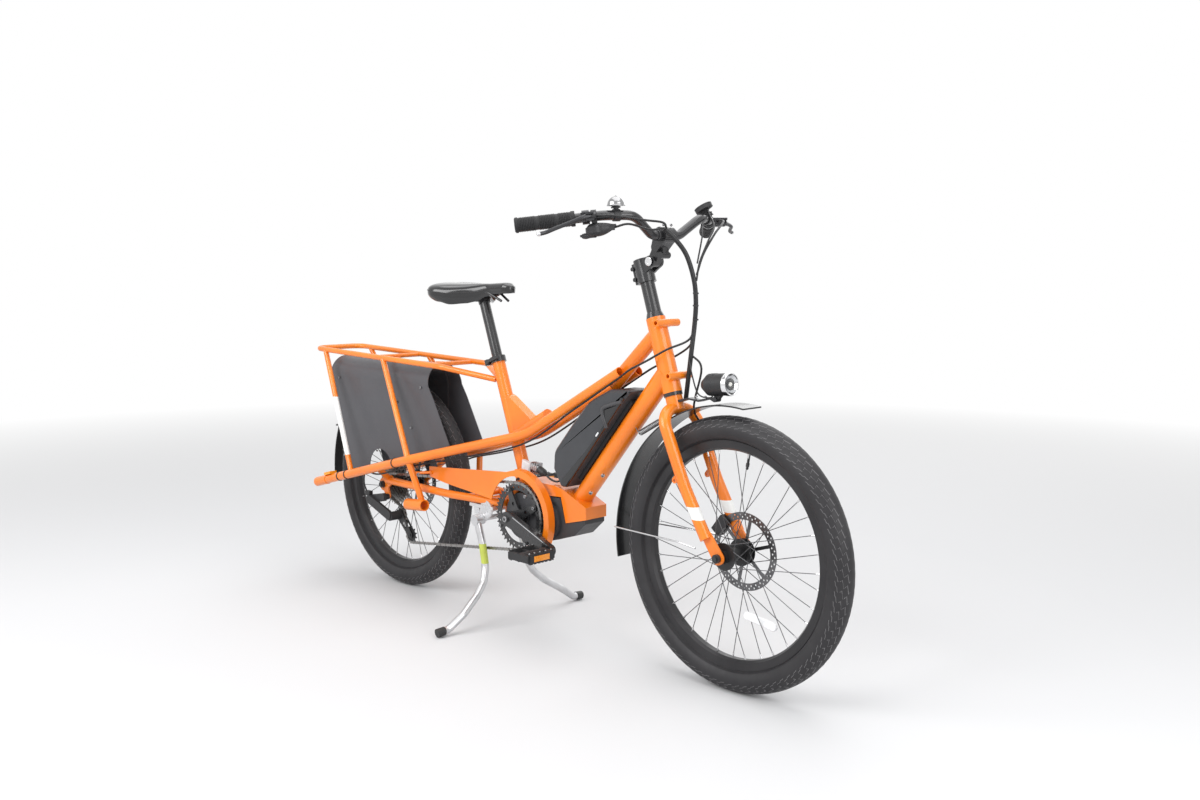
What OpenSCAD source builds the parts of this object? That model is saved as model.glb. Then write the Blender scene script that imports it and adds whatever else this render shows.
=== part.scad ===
// Longtail cargo bike with a mid motor, built up from its separate pieces.
// Millimetres. X points forward, Y to the rider's left, Z up.
// The floor is Z = 0 and the origin lies under the middle of the bike.
// Inside the modules, X is measured from the rear axle and Z from the axle line.

/* [Wheels] */
// Distance between the two axles
wheelbase = 1270; // [1230:1:1300]
// Outer diameter of the tyres
tyre_d = 626; // [616:1:634]
// Width of the tyres
tyre_w = 60; // [54:1:62]
// Diameter of the rim's bead seat
bead_d = 507; // [503:1:509]
// Width of the rim outside
rim_w = 30; // [28:1:32]
// Spokes in each wheel
spoke_count = 36; // [36:4:36]
// Spoke diameter
spoke_d = 1.8; // [1.6:0.1:2]
// Distance between the fork's dropouts
front_old = 100; // [99:1:102]
// Distance between the frame's dropouts
rear_old = 135; // [133:1:138]
// Brake disc diameter
rotor_d = 180; // [160:10:190]

/* [Steering] */
// Angle of the steering axis from the floor
head_angle = 72; // [71:0.5:73]
// Axle's distance ahead of the steering axis
fork_offset = 68.6; // [64:0.2:72]
// Bottom of the head tube, up the axis from axle height
head_low = 368; // [366:1:376]
// Length of the head tube
head_len = 180; // [170:1:190]
// Head tube diameter
head_d = 46; // [44:1:50]
// Steerer diameter
steerer_d = 28.6; // [28:0.2:29]
// Fork leg diameter
fork_leg_d = 28; // [26:1:29]
// Fork leg centre from the middle of the bike
fork_leg_y = 57; // [56:1:60]
// Riser tube diameter
riser_d = 34; // [33:1:36]
// Height of the riser above the head tube
riser_len = 140; // [132:1:160]
// Grip end from the middle of the bike
bar_half = 322; // [300:1:340]
// Handlebar tube diameter
bar_d = 22.2; // [22:0.2:24]
// Grip diameter
grip_d = 32; // [30:1:34]
// Grip length
grip_len = 132; // [120:1:138]
// Wire of the steering spring
spring_wire = 1.9; // [1.5:0.1:1.9]

/* [Frame] */
// Crank axle's distance ahead of the rear axle
bb_ahead = 596; // [590:1:606]
// Crank axle's drop below the wheel axles
bb_drop = 9; // [4:1:14]
// Angle of the seat tube from the floor
seat_angle = 70; // [69:0.5:71]
// Seat tube diameter
seat_tube_d = 35; // [34:1:37]
// Length of the seat tube from the crank axle to its top
seat_tube_len = 434; // [425:1:445]
// Seatpost diameter
seatpost_d = 28.6; // [27.2:0.2:29]
// Down tube diameter
down_tube_d = 48; // [44:1:50]
// Diameter of the centre stubs
stub_d = 36; // [34:1:37]
// Side rail diameter
rail_d = 26; // [24:1:27]
// Tail of each side rail from the middle of the bike
rail_spread = 128; // [124:1:134]
// Length of the side rails behind the rear axle
rail_tail = 277; // [250:1:290]
// Chainstay diameter
stay_d = 22; // [20:1:23]
// Tube wall
wall = 2; // [1.6:0.1:2.4]

/* [Rack] */
// Height of the rack's tubes over the axles at its rear
rack_rise = 388; // [382:1:396]
// Width of the rack between its tube centres
rack_w = 164; // [156:1:176]
// Length of the rack behind the rear axle
rack_tail = 345; // [340:1:360]
// Rack tube diameter
rack_d = 16; // [15:1:18]
// Strut diameter
strut_d = 18; // [16:1:20]
// Bore of the open sockets low on the struts
socket_bore = 26; // [24:1:28]
// Skirt sheet thickness
skirt_t = 2; // [1.5:0.1:2.5]

/* [Drive] */
// Teeth on the chainring, a multiple of four
ring_teeth = 44; // [44:4:44]
// Teeth on the sprocket that the chain runs on
cog_teeth = 15; // [15:1:15]
// Chain pitch
pitch = 12.7; // [12.7:0.1:12.7]
// Chain line from the middle of the bike
chain_y = 55; // [55:0.5:55]
// Crank arm length
crank_len = 170; // [165:1:175]
// Crank angle below level at rest
crank_rest = 19.5; // [15:0.5:22]
// Width of the motor housing
motor_w = 92; // [88:1:94]

/* [Stand and seat] */
// Tube diameter of the stand's legs
stand_d = 20; // [18:1:20]
// Foot's distance from the middle of the bike
stand_foot_y = 252; // [240:1:262]
// Stand pivot ahead of the rear axle
stand_ahead = 440; // [436:1:446]
// Saddle length
saddle_len = 272; // [262:1:280]
// Saddle width
saddle_w = 206; // [190:1:220]
// Top of the saddle over the top of the seat tube
saddle_rise = 214; // [206:1:222]

/* [Hidden] */
$fn = 48;
round_fn = 120;
run_gap = 0.05; // radial clearance of a shaft that turns or slides
seat_gap = 0.3; // gap between pieces that meet without a fit
lap = 0.5; // how far a straight stretch of tube runs into its bend
bend_swell = 0.1; // a bend is this much thicker than the straight tube
wheel_r = tyre_d / 2;
bead_r = bead_d / 2;
head_x = wheelbase - fork_offset / sin(head_angle);
head_top = head_low + head_len;
bb = [bb_ahead, 0, -bb_drop];
frame_dx = wheelbase - 1270; // what a longer wheelbase adds to the front tubes
mid_x = (wheelbase + wheel_r - rack_tail - rack_d / 2) / 2;
orange = [0.95, 0.42, 0.05];
black = [0.06, 0.06, 0.065];
grey = [0.25, 0.25, 0.26];
silver = [0.75, 0.76, 0.78];

// A point on the steering axis, or u ahead of it and y to its side
function steer_pt(w, u = 0, y = 0) =
    [head_x - w * cos(head_angle) + u * sin(head_angle), y, w * sin(head_angle) + u * cos(head_angle)];
// A point up the seat tube from the crank axle, or u ahead of it and y to its side
function seat_pt(w, u = 0, y = 0) =
    bb + [-w * cos(seat_angle) + u * sin(seat_angle), y, w * sin(seat_angle) + u * cos(seat_angle)];
function unit(v) = v / norm(v);
function pick(b, i) = is_list(b) ? b[i] : b;
function turn_at(p, i) = acos(max(-1, min(1, unit(p[i] - p[i - 1]) * unit(p[i + 1] - p[i]))));
function cut_at(p, b, i) = i == 0 || i == len(p) - 1 ? 0 : pick(b, i) * tan(turn_at(p, i) / 2);
// Rigid matrix whose Z axis lies along d
function aim(d) =
    let (z = unit(d), h = abs(z[2]) > 0.9 ? [1, 0, 0] : [0, 0, 1], x = unit(cross(h, z)), y = cross(z, x))
    [[x[0], y[0], z[0], 0], [x[1], y[1], z[1], 0], [x[2], y[2], z[2], 0], [0, 0, 0, 1]];

// Puts a piece drawn from the rear axle into the bike's own frame
module place() translate([-mid_x, 0, wheel_r]) children();
// Puts a piece drawn along the steering axis on it, Z up the axis and X ahead
module on_steering() translate([head_x, 0, 0]) rotate([0, head_angle - 90, 0]) children();
// The same for the seat tube, from the crank axle
module on_seat_tube() translate(bb) rotate([0, seat_angle - 90, 0]) children();
module both_sides() {
    children();
    mirror([0, 1, 0]) children();
}
module rod(a, b, d) translate(a) multmatrix(aim(b - a)) cylinder(d = d, h = norm(b - a));
module elbow(p, u, v, r, d) {
    n = unit(v - (u * v) * u);
    z = cross(-n, u);
    c = p - u * r * tan(acos(u * v) / 2) + n * r;
    multmatrix([[-n[0], u[0], z[0], c[0]], [-n[1], u[1], z[1], c[1]], [-n[2], u[2], z[2], c[2]], [0, 0,
        0, 1]])
        rotate_extrude(angle = acos(u * v), $fn = round_fn) translate([r, 0]) circle(d = d);
}
// Bent bar through the points p with a bend radius b at each inner point
module bar_path(p, b, d) {
    for (i = [0:len(p) - 2]) {
        u = unit(p[i + 1] - p[i]);
        from = max(0, cut_at(p, b, i) - lap);
        to = max(0, cut_at(p, b, i + 1) - lap);
        rod(p[i] + u * from, p[i + 1] - u * to, d);
    }
    for (i = [1:1:len(p) - 2])
        if (turn_at(p, i) > 0.5) elbow(p[i], unit(p[i] - p[i - 1]), unit(p[i + 1] - p[i]), pick(b, i),
            d + bend_swell);
}
// A side outline in X and Z, as wide as from y0 to y1
module side_plate(y0, y1) translate([0, y1, 0]) rotate([90, 0, 0]) linear_extrude(y1 - y0) children();
// An outline in Y and Z, as long as from x0 to x1
module cross_plate(x0, x1) multmatrix([[0, 0, 1, x0], [1, 0, 0, 0], [0, 1, 0, 0], [0, 0, 0, 1]])
    linear_extrude(x1 - x0) children();
// A solid of revolution about a wheel's axle, from an outline in radius and Y
module about_axle() rotate([-90, 0, 0]) rotate_extrude($fn = round_fn) children();
module disc(r, y0, y1, c = [0, 0, 0]) translate([c[0], y0, c[2]]) rotate([-90, 0, 0]) cylinder(r = r,
    h = y1 - y0);
// A rounded link outline between two points
module link2(a, b, r1, r2, waist = 0) {
    d = unit(b - a);
    n = [-d[1], d[0]];
    translate(a) circle(r = r1);
    translate(b) circle(r = r2);
    polygon([a + n * (r1 - waist), b + n * (r2 - waist), b - n * (r2 - waist), a - n * (r1 - waist)]);
}

// Frame.

down_low = [bb_ahead + 179, 0, 53];
down_high = steer_pt(head_low + 50);
rail_bend = [bb_ahead + 4, stub_d / 2 + rail_d / 2, 205];
rail_front = [head_x - 254, stub_d / 2 + rail_d / 2, 391];
rail_slope = (rail_bend[2] - 105) / (rail_bend[0] - 213);
rail_flare = [213, rail_spread, 105];
rail_end = [-rail_tail, rail_spread, 105 - (213 + rail_tail) * rail_slope];
rail_pts = [rail_end, rail_flare, rail_bend, rail_front];
rail_bends = [0, 150, 220, 0];
// Height of the rail's centre at x behind the flare
function rail_z(x) = 105 + (x - 213) * rail_slope;
lug_z = [head_low + 160, head_low + 34];
lug_d = 18;

// Side outline of the hollow bracket that holds the motor
module motor_bracket_outline() translate([bb_ahead, 0])
    polygon([[-78, -32], [-78, 40], [-44, 76], [8, 88], [118, 86], [150, 80], [233, 45], [233, 14],
        [160, -5],
        [142, 60], [77, 56], [-20, 56], [-62, 24], [-64, -32]]);
module motor_bracket_hollow() translate([bb_ahead, 0])
    polygon([[-74, -34], [-74, 38], [-42, 71], [9, 83], [117, 81], [148, 75], [228, 42], [228, 18],
        [164, 2],
        [147, 65], [77, 61], [-22, 61], [-67, 26], [-68, -34]]);

module main_frame() place() color(orange) difference() {
    union() {
        translate(steer_pt(head_low)) rotate([0, head_angle - 90, 0]) cylinder(d = head_d, h = head_len);
        rod(down_low, down_high, down_tube_d);
        rod(steer_pt(head_low + 147), rail_front + [-51, -rail_front[1], -36], stub_d);
        for (w = lug_z) {
            translate(steer_pt(w, head_d / 2 + lug_d / 2 - 2)) disc(lug_d / 2, -38, 38);
            translate(steer_pt(w)) rotate([0, head_angle - 90, 0]) translate([0, -12,
                -9]) cube([head_d / 2 + 8, 24, 18]);
        }
        side_plate(-36, 36) motor_bracket_outline();
    }
    on_steering() translate([0, 0, head_low - 1]) cylinder(d = head_d - 12, h = head_len + 2);
    for (w = lug_z) translate(steer_pt(w, head_d / 2 + lug_d / 2 - 2)) disc(lug_d / 2 - 4, -39, 39);
    rod(down_low + unit(down_high - down_low) * 30, down_high - unit(down_high - down_low) * 34,
        down_tube_d - 2 * wall);
    side_plate(-32, 32) motor_bracket_hollow();
}

gusset_top = seat_pt(318, 14);
stub_rear = [seat_pt(205)[0] - 2, 0, 190];
stub_front = [bb_ahead + 58, 0, 258];

module seat_tube() place() color(orange) difference() {
    union() {
        rod(seat_pt(82), seat_pt(seat_tube_len), seat_tube_d);
        rod(stub_rear, stub_front, stub_d);
        side_plate(-14, 14) polygon([[gusset_top[0] - 8, gusset_top[2] + 8], [gusset_top[0] + 10,
            gusset_top[2] + 2],
            [bb_ahead + 16, 235], [bb_ahead - 60, 205], [gusset_top[0] - 10, gusset_top[2] - 40]]);
    }
    rod(seat_pt(120), seat_pt(seat_tube_len + 1), seatpost_d + 2 * run_gap);
}

module side_rails() place() color(orange) both_sides() {
    difference() {
        union() {
            bar_path(rail_pts, rail_bends, rail_d);
            // end sleeve of the open tail
            rod(rail_end, rail_end + [60, 0, 60 * rail_slope], rail_d + 3);
        }
        bar_path(rail_pts, rail_bends, rail_d - 2 * wall);
    }
}

rack_front = [300, rack_w / 2, rack_rise - 20];
rack_nose = seat_pt(seat_tube_len - 58, -18, 8);
rack_rear = [-rack_tail, rack_w / 2, rack_rise];
// Height of the rack's tubes at x
function rack_z(x) = rack_rise - (x + rack_tail) * 20 / (300 + rack_tail);
cross_x = [-25, 232];
cross_drop = 2;

module rear_rack() place() color(orange) {
    loop = [rack_nose, rack_front, rack_rear, [rack_rear[0], -rack_rear[1], rack_rear[2]],
        [rack_front[0], -rack_front[1], rack_front[2]], [rack_nose[0], -rack_nose[1], rack_nose[2]]];
    bar_path(loop, [0, 60, 35, 35, 60, 0], rack_d);
    for (x = cross_x)
        rod([x, -rack_w / 2, rack_z(x) - cross_drop], [x, rack_w / 2, rack_z(x) - cross_drop], rack_d - 3);
    // tabs that the two skirts are bolted under
    skirt_top = rack_rise - 81;
    translate([cross_x[0] - 9, -9, skirt_top + 58.3]) cube([18, 18, 10]);
    translate([cross_x[1] - 50, -9, skirt_top + 60.8]) cube([52, 18, 4]);
}

strut_top = [-288, 24];
strut_low = [-85, 206];
strut_foot = [234, 100, -22];
socket_wall = 3;
socket_len = 80;
socket_at = strut_foot + [-12, 14.5, -2];
socket_dip = 5.5; // slope of the socket, down to the rear

module rack_struts() place() color(orange) both_sides() {
    rod([strut_top[0], rack_w / 2, rack_z(strut_top[0])], [strut_low[0], rail_spread,
        rail_z(strut_low[0])], strut_d - 2);
    rod([strut_top[1], rack_w / 2, rack_z(strut_top[1])], [strut_low[1], rail_spread,
        rail_z(strut_low[1])], strut_d - 1);
    difference() {
        union() {
            rod([strut_low[1], rail_spread, rail_z(strut_low[1])], strut_foot, strut_d);
            translate(socket_at) rotate([0, 90 - socket_dip, 0])
                cylinder(d = socket_bore + 2 * socket_wall, h = socket_len, center = true);
        }
        translate(socket_at) rotate([0, 90 - socket_dip, 0]) cylinder(d = socket_bore,
            h = socket_len + 2, center = true);
    }
}

drop_in = rear_old / 2;
drop_t = 6;
stay_pts = [[26, drop_in + 8, 16], [330, 70, 14], [482, 41, 12], [bb_ahead - 66, 36, 14]];

module chainstays() place() color(orange) {
    both_sides() {
        bar_path(stay_pts, [0, 260, 200, 0], stay_d);
        difference() {
            side_plate(drop_in, drop_in + drop_t) union() {
                link2([0, 0], [34, 16], 19, 14);
                link2([6, 0], [22, -32], 15, 9);
            }
            disc(6, drop_in - 1, drop_in + drop_t + 1);
        }
        // upright from the dropout to the side rail
        rod([34, drop_in + 4, 18], [52, rail_spread, rail_z(52)], strut_d);
    }
    // bridge ahead of the tyre, which the stand's bracket hangs from
    rod([stand_ahead - 60, -56, 13], [stand_ahead - 60, 56, 13], 18);
    translate([stand_ahead - 46, -44, seat_gap]) cube([92, 88, 6]);
}

// Headset, riser and stem.

cup_h = 14;
riser_low = head_top + cup_h;
riser_top = head_top + riser_len;
pivot_u = 36;
pivot_w = riser_top - 14;
clamp_u = 86;
clamp_w = pivot_w + 46;
bar_mid = steer_pt(clamp_w, clamp_u);

module headset_cups() place() color(black) on_steering() {
    difference() {
        union() {
            translate([0, 0, head_top]) cylinder(d1 = head_d - 1, d2 = riser_d + 2, h = cup_h - seat_gap);
            translate([0, 0, head_top - 12]) cylinder(d = head_d - 12, h = 12);
        }
        translate([0, 0, head_top - 13]) cylinder(d = steerer_d + 2 * run_gap, h = cup_h + 14);
    }
    difference() {
        union() {
            translate([0, 0, head_low - 8]) cylinder(d = head_d - 1, h = 8);
            translate([0, 0, head_low]) cylinder(d = head_d - 12, h = 12);
        }
        translate([0, 0, head_low - 9]) cylinder(d = steerer_d + 2 * run_gap, h = 22);
    }
}

crown_drop = 38; // crown below the lower head cup
crown_w = head_low - crown_drop;
crown_bend = 44;
leg_top = [2, crown_w];
leg_knee = [22, 150];
leg_low = [50, 24];

module fork() place() {
    y = fork_leg_y;
    color(orange) on_steering() {
        difference() {
            union() {
                translate([0, 0, crown_w - 4]) cylinder(d = 40, h = head_low - 8 - crown_w + 4 - seat_gap);
                translate([0, 0, head_low - 12]) cylinder(d = steerer_d, h = riser_top - head_low);
                bar_path([for (s = [-1, 1], k = s < 0 ? [0, 1, 2] : [2, 1, 0])
                    let (q = [leg_low, leg_knee, leg_top][k]) [q[0], s * y, q[1]]],
                    [0, 300, crown_bend, crown_bend, 300, 0], fork_leg_d);
                // eyelet lugs for a front stay, and the dropout plates
                both_sides() side_plate(-y - 3, -y + 3) link2([leg_knee[0] - 4, 178],
                    [leg_knee[0] - 24, 168], 9, 7);
                both_sides() side_plate(front_old / 2, front_old / 2 + 6)
                    link2([leg_low[0] + 1, leg_low[1] + 6], [fork_offset,
                        -fork_offset / tan(head_angle)], 13, 15);
            }
            both_sides() translate([leg_knee[0] - 24, -y, 168]) disc(3, -5, 5);
            disc(6, -front_old, front_old, [fork_offset, 0, -fork_offset / tan(head_angle)]);
        }
    }
}

module riser() place() color(black) on_steering() {
    difference() {
        translate([0, 0, riser_low]) cylinder(d = riser_d, h = riser_top - riser_low);
        translate([0, 0, riser_low - 1]) cylinder(d = steerer_d, h = riser_top - riser_low - 3);
    }
    // clamp with its ears, bolts and pivot pin
    difference() {
        union() {
            translate([0, 0, riser_top - 54]) cylinder(d = riser_d + 10, h = 56);
            translate([-riser_d / 2 - 10, -11, riser_top - 52]) cube([16, 22, 50]);
            both_sides() side_plate(10, 17) link2([10, pivot_w - 4], [pivot_u, pivot_w], 18, 14);
        }
        translate([0, 0, riser_top - 55]) cylinder(d = riser_d, h = 58 - 2);
        translate([-riser_d / 2 - 12, -1, riser_top - 53]) cube([14, 2, 54]);
        for (w = [riser_top - 40, riser_top - 14]) disc(3, -12, 12, [-riser_d / 2 - 6, 0, w]);
    }
    for (w = [riser_top - 40, riser_top - 14]) {
        disc(3, -16, 12, [-riser_d / 2 - 6, 0, w]);
        disc(5, -17, -11, [-riser_d / 2 - 6, 0, w]);
    }
    disc(5, -17, 17, [pivot_u, 0, pivot_w]);
    both_sides() disc(8, 17, 20, [pivot_u, 0, pivot_w]);
}

module stem_arm() place() color(black) on_steering() {
    difference() {
        union() {
            side_plate(-9.6, 9.6) link2([pivot_u, pivot_w], [clamp_u - 20, clamp_w - 18], 13, 14);
            side_plate(-19, 19) link2([clamp_u - 22, clamp_w - 20], [clamp_u, clamp_w], 12, 20);
            disc(8, -14, 14, [clamp_u - 16, 0, clamp_w - 42]);
            side_plate(-9.6, 9.6) link2([clamp_u - 16, clamp_w - 42], [clamp_u - 20, clamp_w - 20], 8, 12);
        }
        disc(5 + run_gap, -20, 20, [pivot_u, 0, pivot_w]);
        disc(bar_d / 2 + 1.6, -21, 21, [clamp_u, 0, clamp_w]);
        // split line of the face plate
        translate([clamp_u + 1, -21, clamp_w]) rotate([0, -40, 0]) translate([0, 0, -24]) cube([1.2,
            42, 48]);
    }
}

bar_bend1 = [0, 45, 0];
bar_bend2 = [9, 112, 43];
bar_bend3 = [-22, 180, 41];
bar_tip = [-152, bar_half, 19];
bar_side = [bar_mid, bar_mid + bar_bend1, bar_mid + bar_bend2, bar_mid + bar_bend3, bar_mid + bar_tip];
bar_r = [0, 40, 50, 60, 0];
tip_dir = unit(bar_side[4] - bar_side[3]);
// A point on the straight end of the bar, s back from its tip
function grip_pt(s) = bar_side[4] - tip_dir * s;

module handlebar() place() color(black) {
    difference() {
        union() {
            both_sides() bar_path(bar_side, bar_r, bar_d);
            translate(bar_mid) disc(bar_d / 2 + 1.6, -32, 32);
        }
        both_sides() rod(grip_pt(-1), grip_pt(80), bar_d - 2 * wall);
    }
}

module grips() place() color(black) both_sides() difference() {
    union() {
        rod(grip_pt(-3), grip_pt(grip_len), grip_d);
        rod(grip_pt(-3), grip_pt(4), grip_d + 2);
        rod(grip_pt(grip_len - 5), grip_pt(grip_len), grip_d + 2);
    }
    rod(grip_pt(-0.5), grip_pt(grip_len + 1), bar_d);
}

// Controls on the bar.

// The controls' own frame: X away from the rider, Y out along the grip, Z up
module on_bar(s) {
    x = unit(cross(tip_dir, [0, 0, 1]));
    z = cross(x, tip_dir);
    p = grip_pt(s);
    multmatrix([[x[0], tip_dir[0], z[0], p[0]], [x[1], tip_dir[1], z[1], p[1]], [x[2], tip_dir[2],
        z[2], p[2]],
        [0, 0, 0, 1]]) children();
}
// The same frame on the rise of the bar, t out from its first bend
module on_bar_rise(t) {
    y = unit(bar_side[3] - bar_side[2]);
    x = unit(cross(y, [0, 0, 1]));
    z = cross(x, y);
    p = bar_side[2] + y * t;
    multmatrix([[x[0], y[0], z[0], p[0]], [x[1], y[1], z[1], p[1]], [x[2], y[2], z[2], p[2]], [0, 0, 0, 1]])
        children();
}
lever_x = 38;
lever_y = -8;

module brake_body() on_bar(grip_len + 24) {
    difference() {
        union() {
            rod([0, -8, 0], [0, 8, 0], bar_d + 9);
            translate([8, -11, -10]) cube([22, 22, 20]);
            rod([21, -22, 0], [21, 14, 0], 17);
            translate([lever_x - 16, lever_y - 9, -9]) cube([24, 18, 18]);
        }
        rod([0, -12, 0], [0, 12, 0], bar_d);
        // slot for the lever's root
        translate([lever_x - 9, lever_y - 10, -5]) cube([20, 21, 10]);
    }
    translate([lever_x, lever_y, -10]) cylinder(r = 2.5, h = 20);
}
module brake_bodies() place() color(black) both_sides() brake_body();
module brake_lever() on_bar(grip_len + 24) difference() {
    union() {
        translate([0, 0, -4.6]) linear_extrude(9.2) link2([lever_x, lever_y], [lever_x + 8,
            lever_y + 24], 7, 5);
        translate([0, 0, -4.6]) linear_extrude(9.2) link2([lever_x + 8, lever_y + 24], [lever_x + 6,
            lever_y + 92], 5, 5.5);
        translate([0, 0, -4.6]) linear_extrude(9.2) link2([lever_x + 6, lever_y + 92], [lever_x + 13,
            lever_y + 106], 5, 6);
    }
    translate([lever_x, lever_y, -6]) cylinder(r = 2.5 + run_gap, h = 12);
}
module brake_lever_left() place() color(grey) brake_lever();
module brake_lever_right() place() color(grey) mirror([0, 1, 0]) brake_lever();

pod = [18, 2, -24];
shifter_s = grip_len + 42;
module shifter_pod() place() color(black) mirror([0, 1, 0]) on_bar(shifter_s) {
    difference() {
        union() {
            rod([0, -6, 0], [0, 6, 0], bar_d + 7);
            translate([2, -6, -24]) cube([14, 12, 16]);
            translate([pod[0], pod[1], pod[2] - 12]) cylinder(r = 20, h = 12);
            translate([pod[0] - 6, pod[1] - 44, pod[2] - 11]) cube([14, 34, 10]);
        }
        rod([0, -8, 0], [0, 8, 0], bar_d);
    }
    translate([pod[0], pod[1], pod[2] - 20]) cylinder(r = 3, h = 9);
}
module shift_lever() place() color(grey) mirror([0, 1, 0]) on_bar(shifter_s)
    translate([pod[0], pod[1], pod[2] - 18]) difference() {
        union() {
            cylinder(r = 8, h = 5);
            rotate([0, 0, 130]) translate([0, -6, 0]) cube([38, 12, 5]);
        }
        translate([0, 0, -1]) cylinder(r = 3 + run_gap, h = 7);
    }

module bar_controls() place() color(black) {
    // display on the rise of the left side
    on_bar_rise(44) {
        difference() {
            union() {
                rod([0, -5, 0], [0, 5, 0], bar_d + 6);
                translate([-10, -5, 8]) cube([18, 10, 16]);
            }
            rod([0, -6, 0], [0, 6, 0], bar_d);
        }
        translate([-2, 0, 22]) rotate([0, -30, 0]) cylinder(r = 22, h = 9);
    }
    // assist switch beside the grip
    on_bar(shifter_s) difference() {
        union() {
            rod([0, -5, 0], [0, 5, 0], bar_d + 6);
            translate([-18, -8, 10]) cube([26, 16, 13]);
        }
        rod([0, -9, 0], [0, 9, 0], bar_d);
    }
}

bell_r = 19;
module bell() place() mirror([0, 1, 0]) on_bar_rise(43) {
    color(silver) translate([0, 0, 22]) {
        difference() {
            sphere(r = bell_r);
            sphere(r = bell_r - 1.8);
            translate([-bell_r - 1, -bell_r - 1, -bell_r - 1]) cube([2 * bell_r + 2, 2 * bell_r + 2,
                bell_r + 1]);
        }
        cylinder(r = 5, h = bell_r - 1);
    }
    color(black) {
        difference() {
            union() {
                rod([0, -7.5, 0], [0, 7.5, 0], bar_d + 5);
                translate([0, 0, 12]) cylinder(r = 6, h = 15);
            }
            rod([0, -9, 0], [0, 9, 0], bar_d);
        }
    }
}
module bell_striker() place() color(black) mirror([0, 1, 0]) on_bar_rise(43)
    translate([0, 0, 16]) difference() {
        union() {
            cylinder(r = 10, h = 3.5);
            translate([-24, -3, 0]) cube([18, 6, 3.5]);
        }
        translate([0, 0, -1]) cylinder(r = 6 + run_gap, h = 6);
    }

// Wheels.

module tyre() about_axle() difference() {
    union() {
        translate([wheel_r - tyre_w / 2, 0]) circle(d = tyre_w, $fn = 72);
        translate([bead_r, -rim_w / 2 + 2.4]) square([22, rim_w - 4.8]);
    }
    translate([wheel_r - tyre_w / 2, 0]) circle(d = tyre_w - 8, $fn = 72);
    // room for the rim's hooked edges
    for (s = [-1, 1]) translate([bead_r - 20, s * (rim_w / 2 + 8) - 10.4]) square([26, 20.8]);
    translate([bead_r - 1, -rim_w / 2 + 6]) square([20, rim_w - 12]);
    // shoulder grooves of the tread
    for (y = [-19, -9, 9, 19]) translate([wheel_r - tyre_w / 2 + sqrt(pow(tyre_w / 2,
        2) - y * y) - 1.2, y - 1.2])
        square([4, 2.4]);
}
module rim() difference() {
    h = rim_w / 2;
    about_axle() difference() {
        polygon([[bead_r - 17, -7], [bead_r - 17, 7], [bead_r - 12, h - 1], [bead_r + 5.5, h],
            [bead_r + 5.5, h - 2.2],
            [bead_r, h - 2.4], [bead_r, 9], [bead_r - 5, 6], [bead_r - 5, -6], [bead_r, -9], [bead_r,
                2.4 - h],
            [bead_r + 5.5, 2.2 - h], [bead_r + 5.5, -h], [bead_r - 12, 1 - h]]);
        polygon([[bead_r - 15, -6], [bead_r - 15, 6], [bead_r - 11, h - 3.5], [bead_r - 2.5, h - 3.5],
            [bead_r - 7, 5],
            [bead_r - 7, -5], [bead_r - 2.5, 3.5 - h], [bead_r - 11, 3.5 - h]]);
    }
    rotate([0, 10, 0]) translate([0, 0, bead_r - 20]) cylinder(d = 8.5, h = 24);
}
// Crossed spokes from the flanges at y_left and y_right, with their nipples
module spokes(y_left, y_right, flange) {
    for (i = [0:spoke_count - 1]) {
        y = i % 2 == 0 ? y_left : y_right;
        lean = i % 4 < 2 ? 1 : -1;
        a = i * 360 / spoke_count;
        b = a + lean * 62;
        hub_end = [flange * sin(b), y + (i % 4 < 2 ? 1 : -1), flange * cos(b)];
        rim_end = [(bead_r - 16) * sin(a), sign(y) * 3, (bead_r - 16) * cos(a)];
        u = unit(rim_end - hub_end);
        rod(hub_end, rim_end, spoke_d);
        rod(rim_end - u * 11, rim_end + u * 4, 4);
    }
}
module hub_shell(y0, y1, f0, f1, flange, bore) difference() {
    union() {
        disc(15, y0, y1);
        for (y = [f0, f1]) disc(flange + 4, y - 1.6, y + 1.6);
        disc(20, f0, f0 + 7);
        disc(20, f1 - 7, f1);
    }
    disc(bore / 2 + run_gap, y0 - 1, y1 + 1);
}
module rotor(y, hub_r) difference() {
    union() {
        disc(rotor_d / 2, y - 0.9, y + 0.9);
        disc(hub_r, y - 5, y + 2.5);
    }
    // windows between the arms
    side_plate(y - 1, y + 1) difference() {
        circle(r = rotor_d / 2 - 17);
        circle(r = hub_r + 6);
        for (a = [0:60:300]) rotate(a) translate([0, -4]) rotate(18) square([rotor_d / 2, 8]);
    }
    side_plate(y - 1, y + 1) for (i = [0:35], k = [0, 1]) rotate(i * 10 + k * 5)
        translate([rotor_d / 2 - 5 - k * 6, 0]) circle(d = 4.4, $fn = 16);
    disc(15, y - 6, y + 3);
}
front_disc_y = front_old / 2 - 10.5;
rear_disc_y = rear_old / 2 - 15.5;
front_flange = [-33, 24];
rear_flange = [-18, 33];
front_at = [wheelbase, 0, 0];

module front_tyre() place() color(black) translate(front_at) tyre();
module front_rim() place() color(black) translate(front_at) rim();
module front_spokes() place() color(grey) translate(front_at) spokes(front_flange[1], front_flange[0], 27);
module front_hub() place() translate(front_at) {
    color(black) hub_shell(-44, 44, front_flange[0], front_flange[1], 27, 12);
    color(silver) rotor(front_disc_y, 24);
}
module rear_tyre() place() color(black) tyre();
module rear_rim() place() color(black) rim();
module rear_spokes() place() color(grey) spokes(rear_flange[1], rear_flange[0], 27);
module rear_hub() place() {
    color(black) hub_shell(-61, 61, rear_flange[0], rear_flange[1], 27, 12);
    color(silver) rotor(rear_disc_y, 24);
}
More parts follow.
